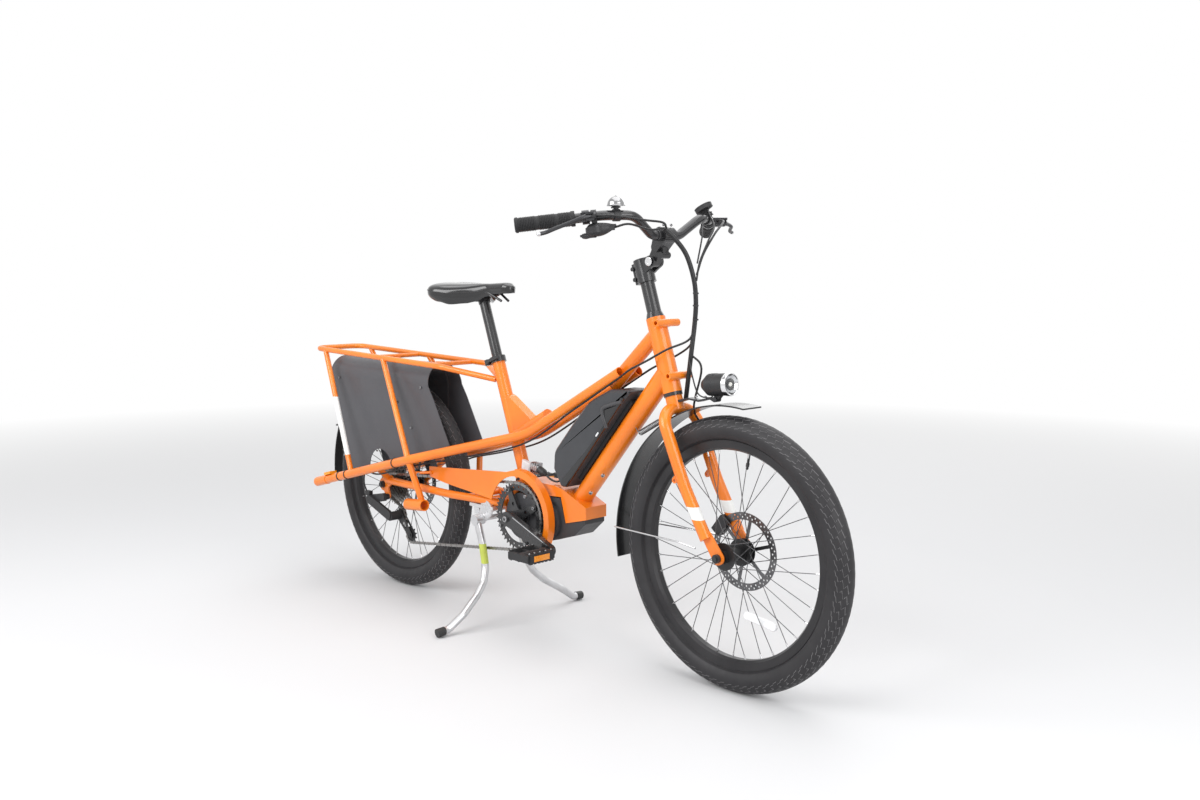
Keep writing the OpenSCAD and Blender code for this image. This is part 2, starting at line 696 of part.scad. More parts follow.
// Axle with its locknuts inside the dropouts and its nuts outside
module axle(half, plate, shell) {
    disc(6, -half - plate - 12, half + plate + 12);
    both_sides() {
        disc(10, shell + seat_gap, half);
        disc(10, half + plate, half + plate + 8);
    }
}
module front_axle() place() color(grey) translate(front_at) axle(front_old / 2, 6, 44);
module rear_axle() place() color(grey) axle(rear_old / 2, drop_t, 61);

// Drive.

roller_r = 3.85;
function pitch_r(n) = n * pitch / (2 * PI);
ring_c = [bb_ahead, -bb_drop];
cog_c = [0, 0];
pulley_teeth = 11;
upper_c = [62, -85];
cage_len = 74;
// Direction of a run of chain between two circles: 1 turns with the crank, -1 against it
function run_angle(a, b) = let (d = b[0] - a[0])
    atan2(d[1], d[0]) - asin((a[2] * a[1] - b[2] * b[1]) / norm(d));
function lower_c(g) = upper_c + cage_len * [cos(g), sin(g)];
function loop(g) = [[cog_c, pitch_r(cog_teeth), 1], [ring_c, pitch_r(ring_teeth), 1],
    [lower_c(g), pitch_r(pulley_teeth), 1], [upper_c, pitch_r(pulley_teeth), -1]];
function wrap(x) = x < 0 ? wrap(x + 360) : x >= 360 ? wrap(x - 360) : x;
function next(k) = (k + 1) % 4;
function prev(k) = (k + 3) % 4;
// Angle at which the chain meets and leaves circle k
function meets(l, k) = run_angle(l[prev(k)], l[k]) + 90 * l[k][2];
function leaves(l, k) = run_angle(l[k], l[next(k)]) + 90 * l[k][2];
function arc_len(l, k) = wrap((meets(l, k) - leaves(l, k)) * l[k][2]) * PI / 180 * l[k][1];
function run_len(l, k) = let (a = l[k], b = l[next(k)])
    sqrt(pow(norm(b[0] - a[0]), 2) - pow(a[2] * a[1] - b[2] * b[1], 2));
function sum_to(l, n) = n == 0 ? 0 : sum_to(l, n - 1) + arc_len(l, n - 1) + run_len(l, n - 1);
link_count = 2 * round(sum_to(loop(-50), 4) / pitch / 2);
// Cage angle at which the chain has a whole number of links
function cage(lo, hi, n) = let (m = (lo + hi) / 2)
    n == 0 ? m : sum_to(loop(m), 4) > link_count * pitch ? cage(lo, m, n - 1) : cage(m, hi, n - 1);
cage_up = sum_to(loop(-20), 4) > sum_to(loop(-80), 4);
cage_angle = cage_up ? cage(-80, -20, 24) : cage(-20, -80, 24);
lp = loop(cage_angle);
lower_pulley = lower_c(cage_angle);
function chain_at(s, k = 0) =
    let (s0 = sum_to(lp, k), a = arc_len(lp, k), r = run_len(lp, k), c = lp[k])
    s < s0 + a ? let (t = meets(lp, k) - c[2] * (s - s0) / c[1] * 180 / PI) c[0] + c[1] * [cos(t), sin(t)]
    : s < s0 + a + r || k == 3 ? let (t = leaves(lp, k), u = t - 90 * c[2])
        c[0] + c[1] * [cos(t), sin(t)] + (s - s0 - a) * [cos(u), sin(u)]
    : chain_at(s, k + 1);
// Angle of the first roller on circle k
function seat_of(k) = let (s0 = sum_to(lp, k))
    meets(lp, k) - lp[k][2] * (ceil(s0 / pitch) * pitch - s0) / lp[k][1] * 180 / PI;

module sprocket(n, at, k) {
    r = pitch_r(n);
    step = 360 / n;
    side = [[-4.2, 5.1], [-2.7, 3], [0, 2.05], [3.4, 0.8]];
    rad = 180 / PI / r;
    pts = [for (i = [0:n - 1], j = [0:7]) let (q = j < 4 ? side[j] : side[7 - j], s = j < 4 ? -1 : 1,
        t = seat_of(k) + (i + 0.5) * step + s * q[1] * rad) (r + q[0]) * [cos(t), sin(t)]];
    translate(at) polygon(pts);
}

module chain() place() color(grey) translate([0, -chain_y, 0]) {
    echo(links = link_count, cage = cage_angle, lower = lower_pulley);
    for (i = [0:link_count - 1]) {
        a = chain_at(i * pitch);
        b = chain_at((i + 1) % link_count * pitch);
        w = i % 2 == 0 ? 1.4 : 2.5;
        both_sides() side_plate(w, w + 1) link2(a, b, 4, 4, 0.8);
        disc(roller_r, -3, 3, [a[0], 0, a[1]]);
    }
}

cogs = [13, 15, 17, 19, 21, 24, 28, 32];
cog_step = 4.4;
module cassette() place() color(silver) difference() {
    union() {
        for (i = [0:len(cogs) - 1])
            side_plate(-chain_y - cog_step + i * cog_step - 0.9, -chain_y - cog_step + i * cog_step + 0.9)
            sprocket(cogs[i], cog_c, 0);
        disc(18, -chain_y - cog_step - 1.4, -chain_y + (len(cogs) - 2) * cog_step + 1.4);
    }
    disc(15 + run_gap, -70, -10);
    for (a = [0:72:288]) rotate([0, a, 0]) translate([36, 0, 0]) disc(8, -34, -20);
}

module ring_outline() difference() {
    sprocket(ring_teeth, ring_c, 1);
    translate(ring_c) circle(r = 69, $fn = round_fn);
    translate(ring_c) for (a = [0:15:345]) rotate(a) translate([78, 0]) circle(d = 5, $fn = 16);
}
function arm_end(s) = [bb_ahead + s * crank_len * cos(crank_rest),
    -bb_drop - s * crank_len * sin(crank_rest)];
arm_y = 84;
arm_t = 13;
pedal_in = 108;
pedal_out = 196;

module crankset() place() {
    color(grey) {
        side_plate(-chain_y - 0.9, -chain_y + 0.9) ring_outline();
        side_plate(-chain_y - 6, -chain_y - 0.9) difference() {
            union() {
                translate(ring_c) circle(r = 22);
                for (a = [26:90:296]) translate(ring_c) rotate(a) link2([0, 0], [74, 0], 15, 8);
            }
            translate(ring_c) for (a = [26:90:296]) rotate(a) translate([36, 0]) circle(r = 5);
        }
        disc(17, -arm_y - 2, -chain_y - 5, [bb_ahead, 0, -bb_drop]);
        disc(12, -arm_y, arm_y, [bb_ahead, 0, -bb_drop]);
    }
    color(black) for (s = [1, -1]) mirror([0, s < 0 ? 1 : 0, 0]) {
        e = arm_end(s);
        side_plate(-arm_y - arm_t, -arm_y) difference() {
            link2(ring_c, e, 19, 14);
            translate(ring_c) circle(r = 11);
        }
        disc(14, -arm_y - arm_t - 2, -arm_y + 1, [e[0], 0, e[1]]);
        // pedal spindle
        disc(6, -pedal_out + 8, -arm_y - 2, [e[0], 0, e[1]]);
    }
    color(black) both_sides() disc(11, -arm_y - arm_t + 1, -arm_y, [bb_ahead, 0, -bb_drop]);
}
pedal_l = 80;
pedal_h = 26;
module pedal(s) place() color(black) mirror([0, s < 0 ? 1 : 0, 0]) {
    e = arm_end(s);
    translate([e[0], 0, e[1]]) difference() {
        union() {
            disc(11, -pedal_out + 2, -pedal_in);
            for (x = [-1, 1]) translate([x * (pedal_l / 2 - 4) - 4, -pedal_out + 6, -pedal_h / 2])
                cube([8, pedal_out - pedal_in - 12, pedal_h]);
            for (y = [-pedal_out, -pedal_in - 10]) translate([-pedal_l / 2 + 3, y,
                -9]) cube([pedal_l - 6, 10, 18]);
            translate([-pedal_l / 2 + 3, -(pedal_in + pedal_out) / 2 - 4, -8]) cube([pedal_l - 6, 8, 16]);
        }
        disc(6 + run_gap, -pedal_out + 6, -pedal_in + 1);
        // pocket of the reflector in each edge
        for (x = [-1, 1]) translate([x * (pedal_l / 2) - 2, -(pedal_in + pedal_out) / 2 - 21,
            -6]) cube([4, 42, 12]);
        // grip notches along both edges
        for (x = [-1, 1], i = [0:5], z = [-1, 1])
            translate([x * (pedal_l / 2 - 4) - 5, -pedal_out + 14 + i * 12,
                z * pedal_h / 2 - 2]) cube([10, 6, 4]);
    }
    translate([e[0], 0, e[1]]) for (x = [-1, 1])
        translate([x * (pedal_l / 2 - 1) - 1, -(pedal_in + pedal_out) / 2 - 20.5, -5.5]) cube([2, 41, 11]);
}
module pedal_right() pedal(1);
module pedal_left() pedal(-1);

module pulley(at, k) place() color(black) difference() {
    side_plate(-chain_y - 0.9, -chain_y + 0.9) sprocket(pulley_teeth, at, k);
    disc(4 + run_gap, -chain_y - 5, -chain_y + 5, [at[0], 0, at[1]]);
}
module pulley_upper() pulley(upper_c, 3);
module pulley_lower() pulley(lower_pulley, 2);

knuckle = [-40, -48];
module derailleur() place() color(black) {
    cage_y = 7;
    difference() {
        // cage plates with the pulley pins
        union() {
            side_plate(-chain_y + cage_y - 2, -chain_y + cage_y) link2(upper_c, lower_pulley, 12, 10, 0.3);
            side_plate(-chain_y - cage_y, -chain_y - cage_y + 2) link2(upper_c, lower_pulley, 15, 10, 0.3);
        }
        side_plate(-chain_y - cage_y - 1, -chain_y + cage_y + 1)
            link2(upper_c + (lower_pulley - upper_c) * 0.42, upper_c + (lower_pulley - upper_c) * 0.6,
                5, 4, 0.3);
    }
    for (p = [upper_c, lower_pulley]) disc(4, -chain_y - cage_y - 2, -chain_y + cage_y + 1, [p[0], 0,
        p[1]]);
    // knuckle that turns on the cage, and the parallelogram up to the hanger
    disc(13, -97, -chain_y - cage_y + 1, [upper_c[0], 0, upper_c[1]]);
    side_plate(-92, -84) link2([24, -34], knuckle, 12, 13.4, 0.3);
    side_plate(-100, -91.5) link2(knuckle, [upper_c[0] - 6, upper_c[1] + 4], 13, 14.2, 0.3);
    disc(12, -100, -84, [knuckle[0], 0, knuckle[1]]);
    disc(9, -94, -drop_in - drop_t, [24, 0, -34]);
    translate([-60, -98, -38]) cube([22, 12, 14]);
}

guard_y = 66;
module chain_guard() place() color(orange) {
    c = ring_c + [6, 1];
    difference() {
        union() {
            side_plate(-guard_y - 3, -guard_y) polygon([[224, 80], [560, 106], [598, 125 - bb_drop],
                [640, 120 - bb_drop],
                [640, 60], [520, 12], [495, 26], [300, 42], [226, 52]]);
            side_plate(-guard_y - 3, -guard_y) translate(c) intersection() {
                circle(r = 126, $fn = round_fn);
                polygon([[0, 0], [-8, 200], [200, 200], [200, -150]]);
            }
            // rolled rim over the front of the ring
            side_plate(-guard_y - 3, -chain_y + 7) translate(c) intersection() {
                difference() {
                    circle(r = 126, $fn = round_fn);
                    circle(r = 123, $fn = round_fn);
                }
                polygon([[0, 0], [-8, 200], [200, 200], [200, -150]]);
            }
        }
        side_plate(-guard_y - 4, -guard_y + 1) translate(c) circle(r = 107, $fn = round_fn);
    }
    disc(6, -guard_y - 6, -guard_y, [234, 0, 64]);
    rod([234, -guard_y - 2, 64], [217, -113, 66], 8);
    // arm over the chain to the motor's bracket
    disc(4.5, -guard_y - 1, -27, [600, 0, 99]);
    translate([594, -36, 88.3]) cube([12, 10, 11]);
}

module motor_housing() place() color(black) difference() {
    union() {
        disc(61, -motor_w / 2, motor_w / 2, [bb_ahead, 0, -bb_drop]);
        side_plate(-33, 33) translate([bb_ahead, 0]) polygon([[-20, 46], [70, 54], [138, 56], [155, -6.5],
            [229, 12.5], [229, 2], [188, -34], [131, -52], [81, -66], [0, -69]]);
        side_plate(-motor_w / 2 + 4, motor_w / 2 - 4) link2([bb_ahead, -bb_drop], [bb_ahead + 92, -6],
            60, 48);
        disc(30, -motor_w / 2 - 3, motor_w / 2 + 3, [bb_ahead, 0, -bb_drop]);
    }
    disc(12 + run_gap, -motor_w, motor_w, [bb_ahead, 0, -bb_drop]);
}

// Battery.

battery_lift = 31.3; // underside of the battery from the down tube's axis
battery_side = [[722, 129], [742, 88], [765, 89.5], [971, 332], [986, 346], [889, 333]];
module battery_case() place() color(black) translate([frame_dx, 0, 0]) {
    along = unit(down_high - down_low);
    difference() {
        side_plate(-45, 45) polygon(battery_side);
        // carrying recess in each side
        both_sides() side_plate(34, 46) polygon([[890, 246], [902, 290], [948, 312], [930, 290]]);
    }
}
module battery_mount() place() color(black) {
    u = unit(down_high - down_low);
    n = [-u[2], 0, u[0]];
    p = down_low + u * 54;
    q = down_low + u * 330;
    h0 = down_tube_d / 2 - 3;
    side_plate(-20, 20) polygon([for (k = [[p, h0], [q, h0], [q, battery_lift - seat_gap], [p,
        battery_lift - seat_gap]])
        [k[0][0] + n[0] * k[1], k[0][2] + n[2] * k[1]]]);
}

// Covers, stand, seat and small pieces.

module strap(r0, r1, a0, a1, half) translate([0, -half, 0]) rotate([-90, 0, 0])
    linear_extrude(2 * half) difference() {
        circle(r = r1, $fn = round_fn);
        circle(r = r0, $fn = round_fn);
        polygon(concat([[0, 0]], [for (a = [a1:(a0 + 360 - a1) / 12:a0 + 360]) 2 * r1 * [cos(a),
            -sin(a)]]));
    }

module wheel_skirts() place() color(grey) {
    skirt_arch = rack_rise - 81;
    // rear sheet over both sides of the wheel
    difference() {
        cross_plate(-300, 150) difference() {
            union() {
                translate([0, skirt_arch]) circle(r = 58, $fn = round_fn);
                translate([-58, -20]) square([116, skirt_arch + 20]);
            }
            translate([0, skirt_arch]) circle(r = 58 - skirt_t, $fn = round_fn);
            translate([-58 + skirt_t, -21]) square([116 - 2 * skirt_t, skirt_arch + 21]);
        }
        side_plate(-70, 70) polygon([[-320, 400], [-303, 334], [-292, 306], [-264, 229], [-184, 10],
            [-34, 49],
            [130, 91], [151, 96], [151, -40], [-320, -40]]);
        side_plate(-70, 70) translate([-35, 42]) circle(r = 58);
    }
    difference() {
        cross_plate(40, 330) difference() {
            union() {
                translate([0, skirt_arch]) circle(r = 60.5, $fn = round_fn);
                translate([-60.5, 40]) square([121, skirt_arch - 40]);
            }
            translate([0, skirt_arch]) circle(r = 60.5 - skirt_t, $fn = round_fn);
            translate([-60.5 + skirt_t, 39]) square([121 - 2 * skirt_t, skirt_arch - 39]);
        }
        side_plate(-70, 70) polygon([[39, 400], [47, 299], [135, 102], [128, 30], [39, 30]]);
        side_plate(-70, 70) polygon([[130, 88], [307, 147], [236, 270], [212, 305], [203, 360], [203,
            400], [340, 400],
            [340, 30], [120, 30]]);
    }
}

fender_gap = 24; // tyre to fender
fender_r = wheel_r + fender_gap;
module rear_fender() place() color(black) {
    difference() {
        strap(fender_r - 1, fender_r + 2, 86, 184, 30);
        for (a = [156, 170]) rotate([0, -a, 0]) translate([fender_r - 7, 0, 0]) rotate([0, 90,
            0]) cylinder(d = 5, h = 12);
    }
    // post up to the skirt's arch
    post_top = rack_rise - 81 + 58 - skirt_t - seat_gap - 0.3;
    translate([cross_x[0], 0, fender_r]) cylinder(r = 5, h = post_top - fender_r);
}

cam_y = 18;
module seat_clamp() place() color(black) on_seat_tube() difference() {
    union() {
        translate([0, 0, seat_tube_len - 16]) cylinder(d = seat_tube_d + 8, h = 16);
        translate([-seat_tube_d / 2 - 14, -9, seat_tube_len - 15]) cube([16, 18, 14]);
        translate([-seat_tube_d / 2 - 8, 0, seat_tube_len - 8]) rotate([-90, 0, 0]) cylinder(d = 8, h = 14);
        // cheeks and pin that carry the cam lever
        translate([-seat_tube_d / 2 - 14, -cam_y - 4, seat_tube_len - 16]) cube([11, cam_y - 6, 2.7]);
        translate([-seat_tube_d / 2 - 14, -cam_y - 4, seat_tube_len - 2.7]) cube([11, cam_y - 6, 2.7]);
        translate([-seat_tube_d / 2 - 8, -cam_y, seat_tube_len - 16]) cylinder(r = 2.5, h = 16);
    }
    translate([0, 0, seat_tube_len - 17]) cylinder(d = seat_tube_d, h = 18);
    translate([-seat_tube_d / 2 - 15, -1, seat_tube_len - 17]) cube([16, 2, 18]);
}
module seatpost() place() color(black) {
    difference() {
        rod(seat_pt(250), seat_pt(seat_tube_len + saddle_rise - 48), seatpost_d);
        rod(seat_pt(249), seat_pt(seat_tube_len + saddle_rise - 60), seatpost_d - 5);
    }
    // head with the rail clamps
    c = seat_pt(seat_tube_len + saddle_rise - 40, -4);
    difference() {
        union() {
            disc(15, -19, 19, c);
            rod(seat_pt(seat_tube_len + saddle_rise - 62), seat_pt(seat_tube_len + saddle_rise - 40),
                seatpost_d + 4);
        }
        both_sides() translate(c + [-30, 18, 11]) rotate([0, 90, 0]) cylinder(d = 7.6, h = 60);
    }
}
rail_c = seat_pt(seat_tube_len + saddle_rise - 40, -4) + [0, 0, 11];
saddle_top = seat_pt(seat_tube_len + saddle_rise)[2];
saddle_nose = 515;
module saddle_rails() place() color(black) both_sides()
    bar_path([[saddle_nose - 34, 12, saddle_top - 50], [rail_c[0] + 50, 20, rail_c[2]],
        [rail_c[0] - 34, 22, rail_c[2]],
        [saddle_nose - saddle_len + 34, 40, saddle_top - 34]], [0, 30, 30, 0], 7);
// Half-width of the saddle, t from the back at 0 to the nose at 1
function saddle_half(t) = t < 0.16 ? saddle_w / 2 * (0.55 + 0.45 * sqrt(sin(t / 0.16 * 90)))
    : t < 0.74 ? nose_half + (saddle_w / 2 - nose_half) * (0.5 + 0.5 * cos((t - 0.16) / 0.58 * 180))
    : t < 0.93 ? nose_half
    : nose_half * sqrt(max(0.06, 1 - pow((t - 0.93) / 0.07, 2)));
nose_half = 21;
// Height of the saddle's crown below its highest point, and of its lower edge
function crown(t) = 4 * pow(1 - t, 4) + 16 * pow(max(0, t - 0.35) / 0.65, 1.6) - 3 * sin(t * 180) + 3;
function hem(t) = 34 + 30 * pow(max(0, 1 - t / 0.55), 1.3);
// One section of the cushion, from its left hem over the crown to the right hem and back inside
function saddle_ring(t) = let (h = saddle_half(t), c = crown(t), e = max(hem(t), c + 16), k = min(9,
    h * 0.4))
    [[h - 2, -e], [h, -e + 6], [h * 1.0, -c - 13], [h * 0.95, -c - 7], [h * 0.82, -c - 3], [h * 0.55,
        -c - 0.5],
    [h * 0.2, -c - 0.8], [-h * 0.2, -c - 0.8], [-h * 0.55, -c - 0.5], [-h * 0.82, -c - 3], [-h * 0.95,
        -c - 7],
    [-h, -c - 13], [-h, -e + 6], [2 - h, -e], [k - h, -e + 1], [k - h + 1, -c - 17], [-h * 0.3, -c - 19],
    [h * 0.3, -c - 19], [h - k - 1, -c - 17], [h - k, -e + 1]];
module loft(rings) {
    n = len(rings[0]);
    m = len(rings);
    polyhedron([for (r = rings, q = r) q], concat(
        [for (i = [0:m - 2], j = [0:n - 1]) let (a = i * n + j, b = i * n + (j + 1) % n) [a, b, b + n,
            a + n]],
        [[for (j = [n - 1:-1:0]) j], [for (j = [0:n - 1]) (m - 1) * n + j]]));
}
saddle_steps = 26;
module saddle() place() color(black) loft([for (i = [0:saddle_steps]) let (t = i / saddle_steps)
    [for (q = saddle_ring(t)) [saddle_nose - saddle_len * (1 - t), q[0], saddle_top + q[1]]]]);

// Cam lever of the seat clamp; it turns about a pin along the seat tube
module clamp_lever() place() color(black) on_seat_tube()
    translate([-seat_tube_d / 2 - 8, -cam_y, seat_tube_len - 8]) difference() {
        union() {
            translate([0, 0, -5]) cylinder(d = 14, h = 10);
            translate([0, -7, -5]) cube([14, 6, 10]);
            translate([10, -9, -3]) cube([44, 5, 8]);
        }
        translate([0, 0, -6]) cylinder(r = 2.5 + run_gap, h = 12);
    }

stand_pivot = [stand_ahead, 0, -40];
leg_y = arm_y - stand_d / 2 - 3.2;
module stand_bracket() place() color(silver) difference() {
    union() {
        translate([stand_ahead - 48, -58, -9]) cube([100, 116, 9]);
        both_sides() side_plate(50, 56) link2([stand_ahead + 20, -10], [stand_ahead, -40], 24, 14);
        translate([stand_ahead - 30, -56, -28]) cube([22, 112, 20]);
    }
    disc(7, -100, 100, stand_pivot);
}
// The legs pass inside the crank arms and come out below the pedals' swing
leg_pts = [[stand_ahead + 2, leg_y, -40], [stand_ahead + 22, leg_y, -99], [476, leg_y + 1, -164], [487,
    87, -199],
    [497, 120, -230], [511, 176, -266], [506, 222, -297], [504, stand_foot_y - 4, 13.4 - wheel_r]];
module stand_legs() place() {
    color(silver) {
        disc(7 - run_gap, -leg_y - 10, leg_y + 10, stand_pivot);
        both_sides() {
            disc(15, 56 + seat_gap, leg_y + stand_d / 2, stand_pivot);
            bar_path(leg_pts, [0, 90, 60, 40, 40, 60, 30, 0], stand_d);
        }
    }
    color(black) both_sides() {
        d = unit(leg_pts[7] - leg_pts[6]);
        rod(leg_pts[7] - d * 14, leg_pts[7] + d * 8, stand_d + 3);
    }
}

module frame_cables() place() color(black) {
    // brake hose and shift housing under the right rail, and one under the left
    for (s = [-1, 1]) {
        hang = [0, 0, -rail_d / 2 - 5.4];
        p = [for (q = [rail_front + [-6, 0, -4], rail_bend + [0, 2, 0], rail_flare - [0, 20, 0]])
            [q[0], s * q[1], q[2]] + hang];
        tail = s < 0 ? [[60, -124, 44], [-20, -112, 40], [-64, -100, 0], [-52, -94, -34]]
            : [[150, 116, 66], [96, 76, 62]];
        bar_path(concat([p[0] + [90, s * 6, 26]], p, tail), s < 0 ? [0, 60, 220, 150, 60, 40, 26, 0]
            : [0, 60, 220, 50, 40, 0], 5);
    }
}
module frame_fittings() place() {
    color(black) both_sides() for (x = [140, -110, -150])
        translate([x, rail_spread, rail_z(x)]) rotate([0, 90 - atan(rail_slope), 0]) difference() {
            cylinder(d = rail_d + 3, h = 4);
            translate([0, 0, -1]) cylinder(d = rail_d, h = 6);
        }
    // amber side reflectors
    color([0.95, 0.55, 0.05]) both_sides() translate([-200, rail_spread, rail_z(-200)]) rotate([0,
        -atan(rail_slope), 0])
        translate([-17, -12, rail_d / 2]) cube([34, 24, 8]);
}

module caliper(r, y, a) rotate([0, -a, 0]) {
    difference() {
        translate([r - 24, y - 12, -22]) cube([26, 24, 44]);
        disc(rotor_d / 2 + 3, y - 1.9, y + 1.9);
    }
}
module front_caliper() place() color(black) translate(front_at) caliper(rotor_d / 2 + 4, front_disc_y, 142);
module rear_caliper() place() color(black) caliper(rotor_d / 2 + 4, rear_disc_y, 33);

module front_fender() place() {
    color(black) translate(front_at) strap(fender_r - 2, fender_r + 1.5, 82, 190, 32);
    color(silver) translate(front_at) both_sides()
        bar_path([[-fender_r - 2, 30, 14], [-fender_r + 8, 46, 18], [-110, 62, 20], [-60, 62, 14]], [0,
            6, 60, 0], 4);
}
lamp_pivot = [1216, 0, fender_r + 8];
lamp_at = lamp_pivot + [9, 0, 34];
module lamp_bracket() place() color(black) {
    side_plate(-9, 9) translate([0, lamp_pivot[2]]) polygon([[1106, -16], [1136, -6], [1170, -9],
        [1184, -5], [1204, -1],
        [1204, 3], [1182, -1], [1170, -5], [1136, -2], [1106, -10]]);
    both_sides() side_plate(4.7, 9) link2([1204, lamp_pivot[2] + 1], [lamp_pivot[0], lamp_pivot[2]],
        2.2, 6);
    disc(2.5, -9, 9, lamp_pivot);
}
module headlamp() place() {
    color(black) side_plate(-4.4, 4.4) difference() {
        link2([lamp_pivot[0], lamp_pivot[2]], [lamp_at[0] - 2, lamp_at[2] - 20], 6, 10);
        translate([lamp_pivot[0], lamp_pivot[2]]) circle(r = 2.5 + run_gap);
    }
    color(black) translate(lamp_at) rotate([0, 85, 0]) difference() {
        union() {
            translate([0, 0, -28]) cylinder(d = 50, h = 58);
            translate([0, 0, -46]) cylinder(d1 = 24, d2 = 50, h = 18);
        }
        translate([0, 0, 26]) cylinder(d = 44, h = 5);
    }
    color(silver) translate(lamp_at) rotate([0, 85, 0]) translate([0, 0, 26]) cylinder(d = 44, h = 2.5);
}
spring_from = [991, -12, 247];
spring_dir = unit([65, 0, 35]);
spring_mean_r = 5.3;
module steering_spring() place() color(black) {
    long = 74;
    translate(spring_from) multmatrix(aim(spring_dir)) {
        cylinder(r = spring_mean_r + spring_wire / 2, h = long);
        translate([0, 0, long - 1]) cylinder(d = spring_wire + 1, h = 41);
    }
    // hook to the down tube
    rod(spring_from + spring_dir * 2, [977, -12, 258.9], spring_wire + 1);
}

module steering_cables() place() color(black) bar_path([[1082, -30, 726], [1106, -4, 690], [1130, 8,
    640], [1134, 20, 600],
    [1134, 20, 560], [1130, 25, 517], [1130, 14, 460], [1124, 12, 410], steer_pt(346, 16.6, 20)], [0,
        20, 30, 60, 60, 60, 60, 40, 0], 11);

main_frame();
seat_tube();
side_rails();
rear_rack();
rack_struts();
chainstays();
headset_cups();
fork();
riser();
stem_arm();
handlebar();
grips();
brake_bodies();
brake_lever_right();
brake_lever_left();
shifter_pod();
shift_lever();
bar_controls();
bell();
bell_striker();
motor_housing();
battery_mount();
wheel_skirts();
rear_fender();
chain_guard();
chain();
derailleur();
rear_axle();
rear_caliper();
seat_clamp();
stand_bracket();
frame_cables();
frame_fittings();
battery_case();
front_fender();
front_axle();
front_caliper();
lamp_bracket();
steering_spring();
steering_cables();
headlamp();
front_tyre();
front_rim();
front_spokes();
front_hub();
rear_tyre();
rear_rim();
rear_spokes();
rear_hub();
cassette();
crankset();
pedal_right();
pedal_left();
pulley_upper();
pulley_lower();
seatpost();
saddle();
saddle_rails();
clamp_lever();
stand_legs();
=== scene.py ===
import math
import bpy
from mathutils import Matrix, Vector
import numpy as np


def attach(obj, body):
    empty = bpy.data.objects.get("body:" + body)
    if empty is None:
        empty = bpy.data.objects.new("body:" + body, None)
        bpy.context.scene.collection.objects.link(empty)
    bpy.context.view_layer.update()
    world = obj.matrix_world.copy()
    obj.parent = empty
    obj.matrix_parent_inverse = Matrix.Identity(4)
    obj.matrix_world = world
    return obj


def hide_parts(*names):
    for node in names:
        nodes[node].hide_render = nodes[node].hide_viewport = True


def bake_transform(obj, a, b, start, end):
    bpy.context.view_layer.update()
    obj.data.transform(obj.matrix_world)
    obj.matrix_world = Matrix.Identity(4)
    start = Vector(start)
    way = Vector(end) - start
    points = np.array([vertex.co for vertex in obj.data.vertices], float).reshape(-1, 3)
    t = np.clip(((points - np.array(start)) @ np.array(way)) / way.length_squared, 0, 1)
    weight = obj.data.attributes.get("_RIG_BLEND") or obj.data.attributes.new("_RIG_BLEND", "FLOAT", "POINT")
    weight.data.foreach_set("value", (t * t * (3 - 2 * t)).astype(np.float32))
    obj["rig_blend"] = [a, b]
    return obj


# Longtail cargo bike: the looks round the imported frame. Metres, X forward, Y left, Z up.
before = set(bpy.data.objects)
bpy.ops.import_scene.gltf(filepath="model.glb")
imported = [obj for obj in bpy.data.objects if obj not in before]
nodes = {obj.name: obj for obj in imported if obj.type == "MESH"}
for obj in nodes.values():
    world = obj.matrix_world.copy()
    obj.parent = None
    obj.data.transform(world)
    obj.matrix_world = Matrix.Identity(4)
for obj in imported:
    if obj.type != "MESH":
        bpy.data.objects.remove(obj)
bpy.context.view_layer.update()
print("frame loaded:", len(nodes), "nodes")

# Where things are, measured from the rear axle in millimetres.
bike = {
    "midX": 615.0,
    "wheelR": 313.0,
    "wheelbase": 1270.0,
    "headX": 1197.87,
    "headAngle": 72.0,
    "crank": (596.0, -9.0),
    "seatAngle": 70.0,
}


def at(x, y, z):
    return Vector(((x - bike["midX"]) / 1000, y / 1000, (z + bike["wheelR"]) / 1000))


def onSteer(w, u=0.0, y=0.0):
    # w up the steering axis, u forward of it, y to the left
    a = math.radians(bike["headAngle"])
    return at(bike["headX"] - w * math.cos(a) + u * math.sin(a), y, w * math.sin(a) + u * math.cos(a))


def onSeatTube(w):
    # w up the seat tube from the crank
    a = math.radians(bike["seatAngle"])
    cx, cz = bike["crank"]
    return at(cx - w * math.cos(a), 0.0, cz + w * math.sin(a))


hubs = {"front": at(bike["wheelbase"], 0, 0), "rear": at(0, 0, 0)}
sideName = {-1: "right", 1: "left"}

# Camera at the photograph's angle, floor and soft light.
view = {
    "place": (2.27116, -2.00402, 0.95110),
    "look": (-0.70933, 0.69578, -0.11274),
    "lens": 35.0,
    "sensor": 36.0,
}
studio = {
    "world": 0.45,
    "sky": (0.97, 0.98, 1.0),
    "floorHalf": 14,
    "floorTone": 0.66,
    "floorRough": 0.75,
    "fade": (1.6, 5.5),
}
# place, point lit, size of the panel, power
lights = {
    "topLight": ((0.2, 0.3, 3.6), (0, 0, 0.3), (4.5, 3.0), 84.0),
    "keyLight": ((-0.6, -3.4, 2.6), (0, 0, 0.5), (3.2, 2.2), 120.0),
    "fillLight": ((3.6, -0.4, 1.8), (0.2, 0, 0.5), (2.4, 2.2), 62.0),
    "backLight": ((-1.2, 3.6, 2.4), (0, 0, 0.5), (3.0, 1.8), 26.0),
}


def addObject(name, data):
    obj = bpy.data.objects.new(name, data)
    bpy.context.scene.collection.objects.link(obj)
    return obj


def aim(obj, spot, direction):
    obj.location = spot
    obj.rotation_mode = "QUATERNION"
    obj.rotation_quaternion = Vector(direction).to_track_quat("-Z", "Y")


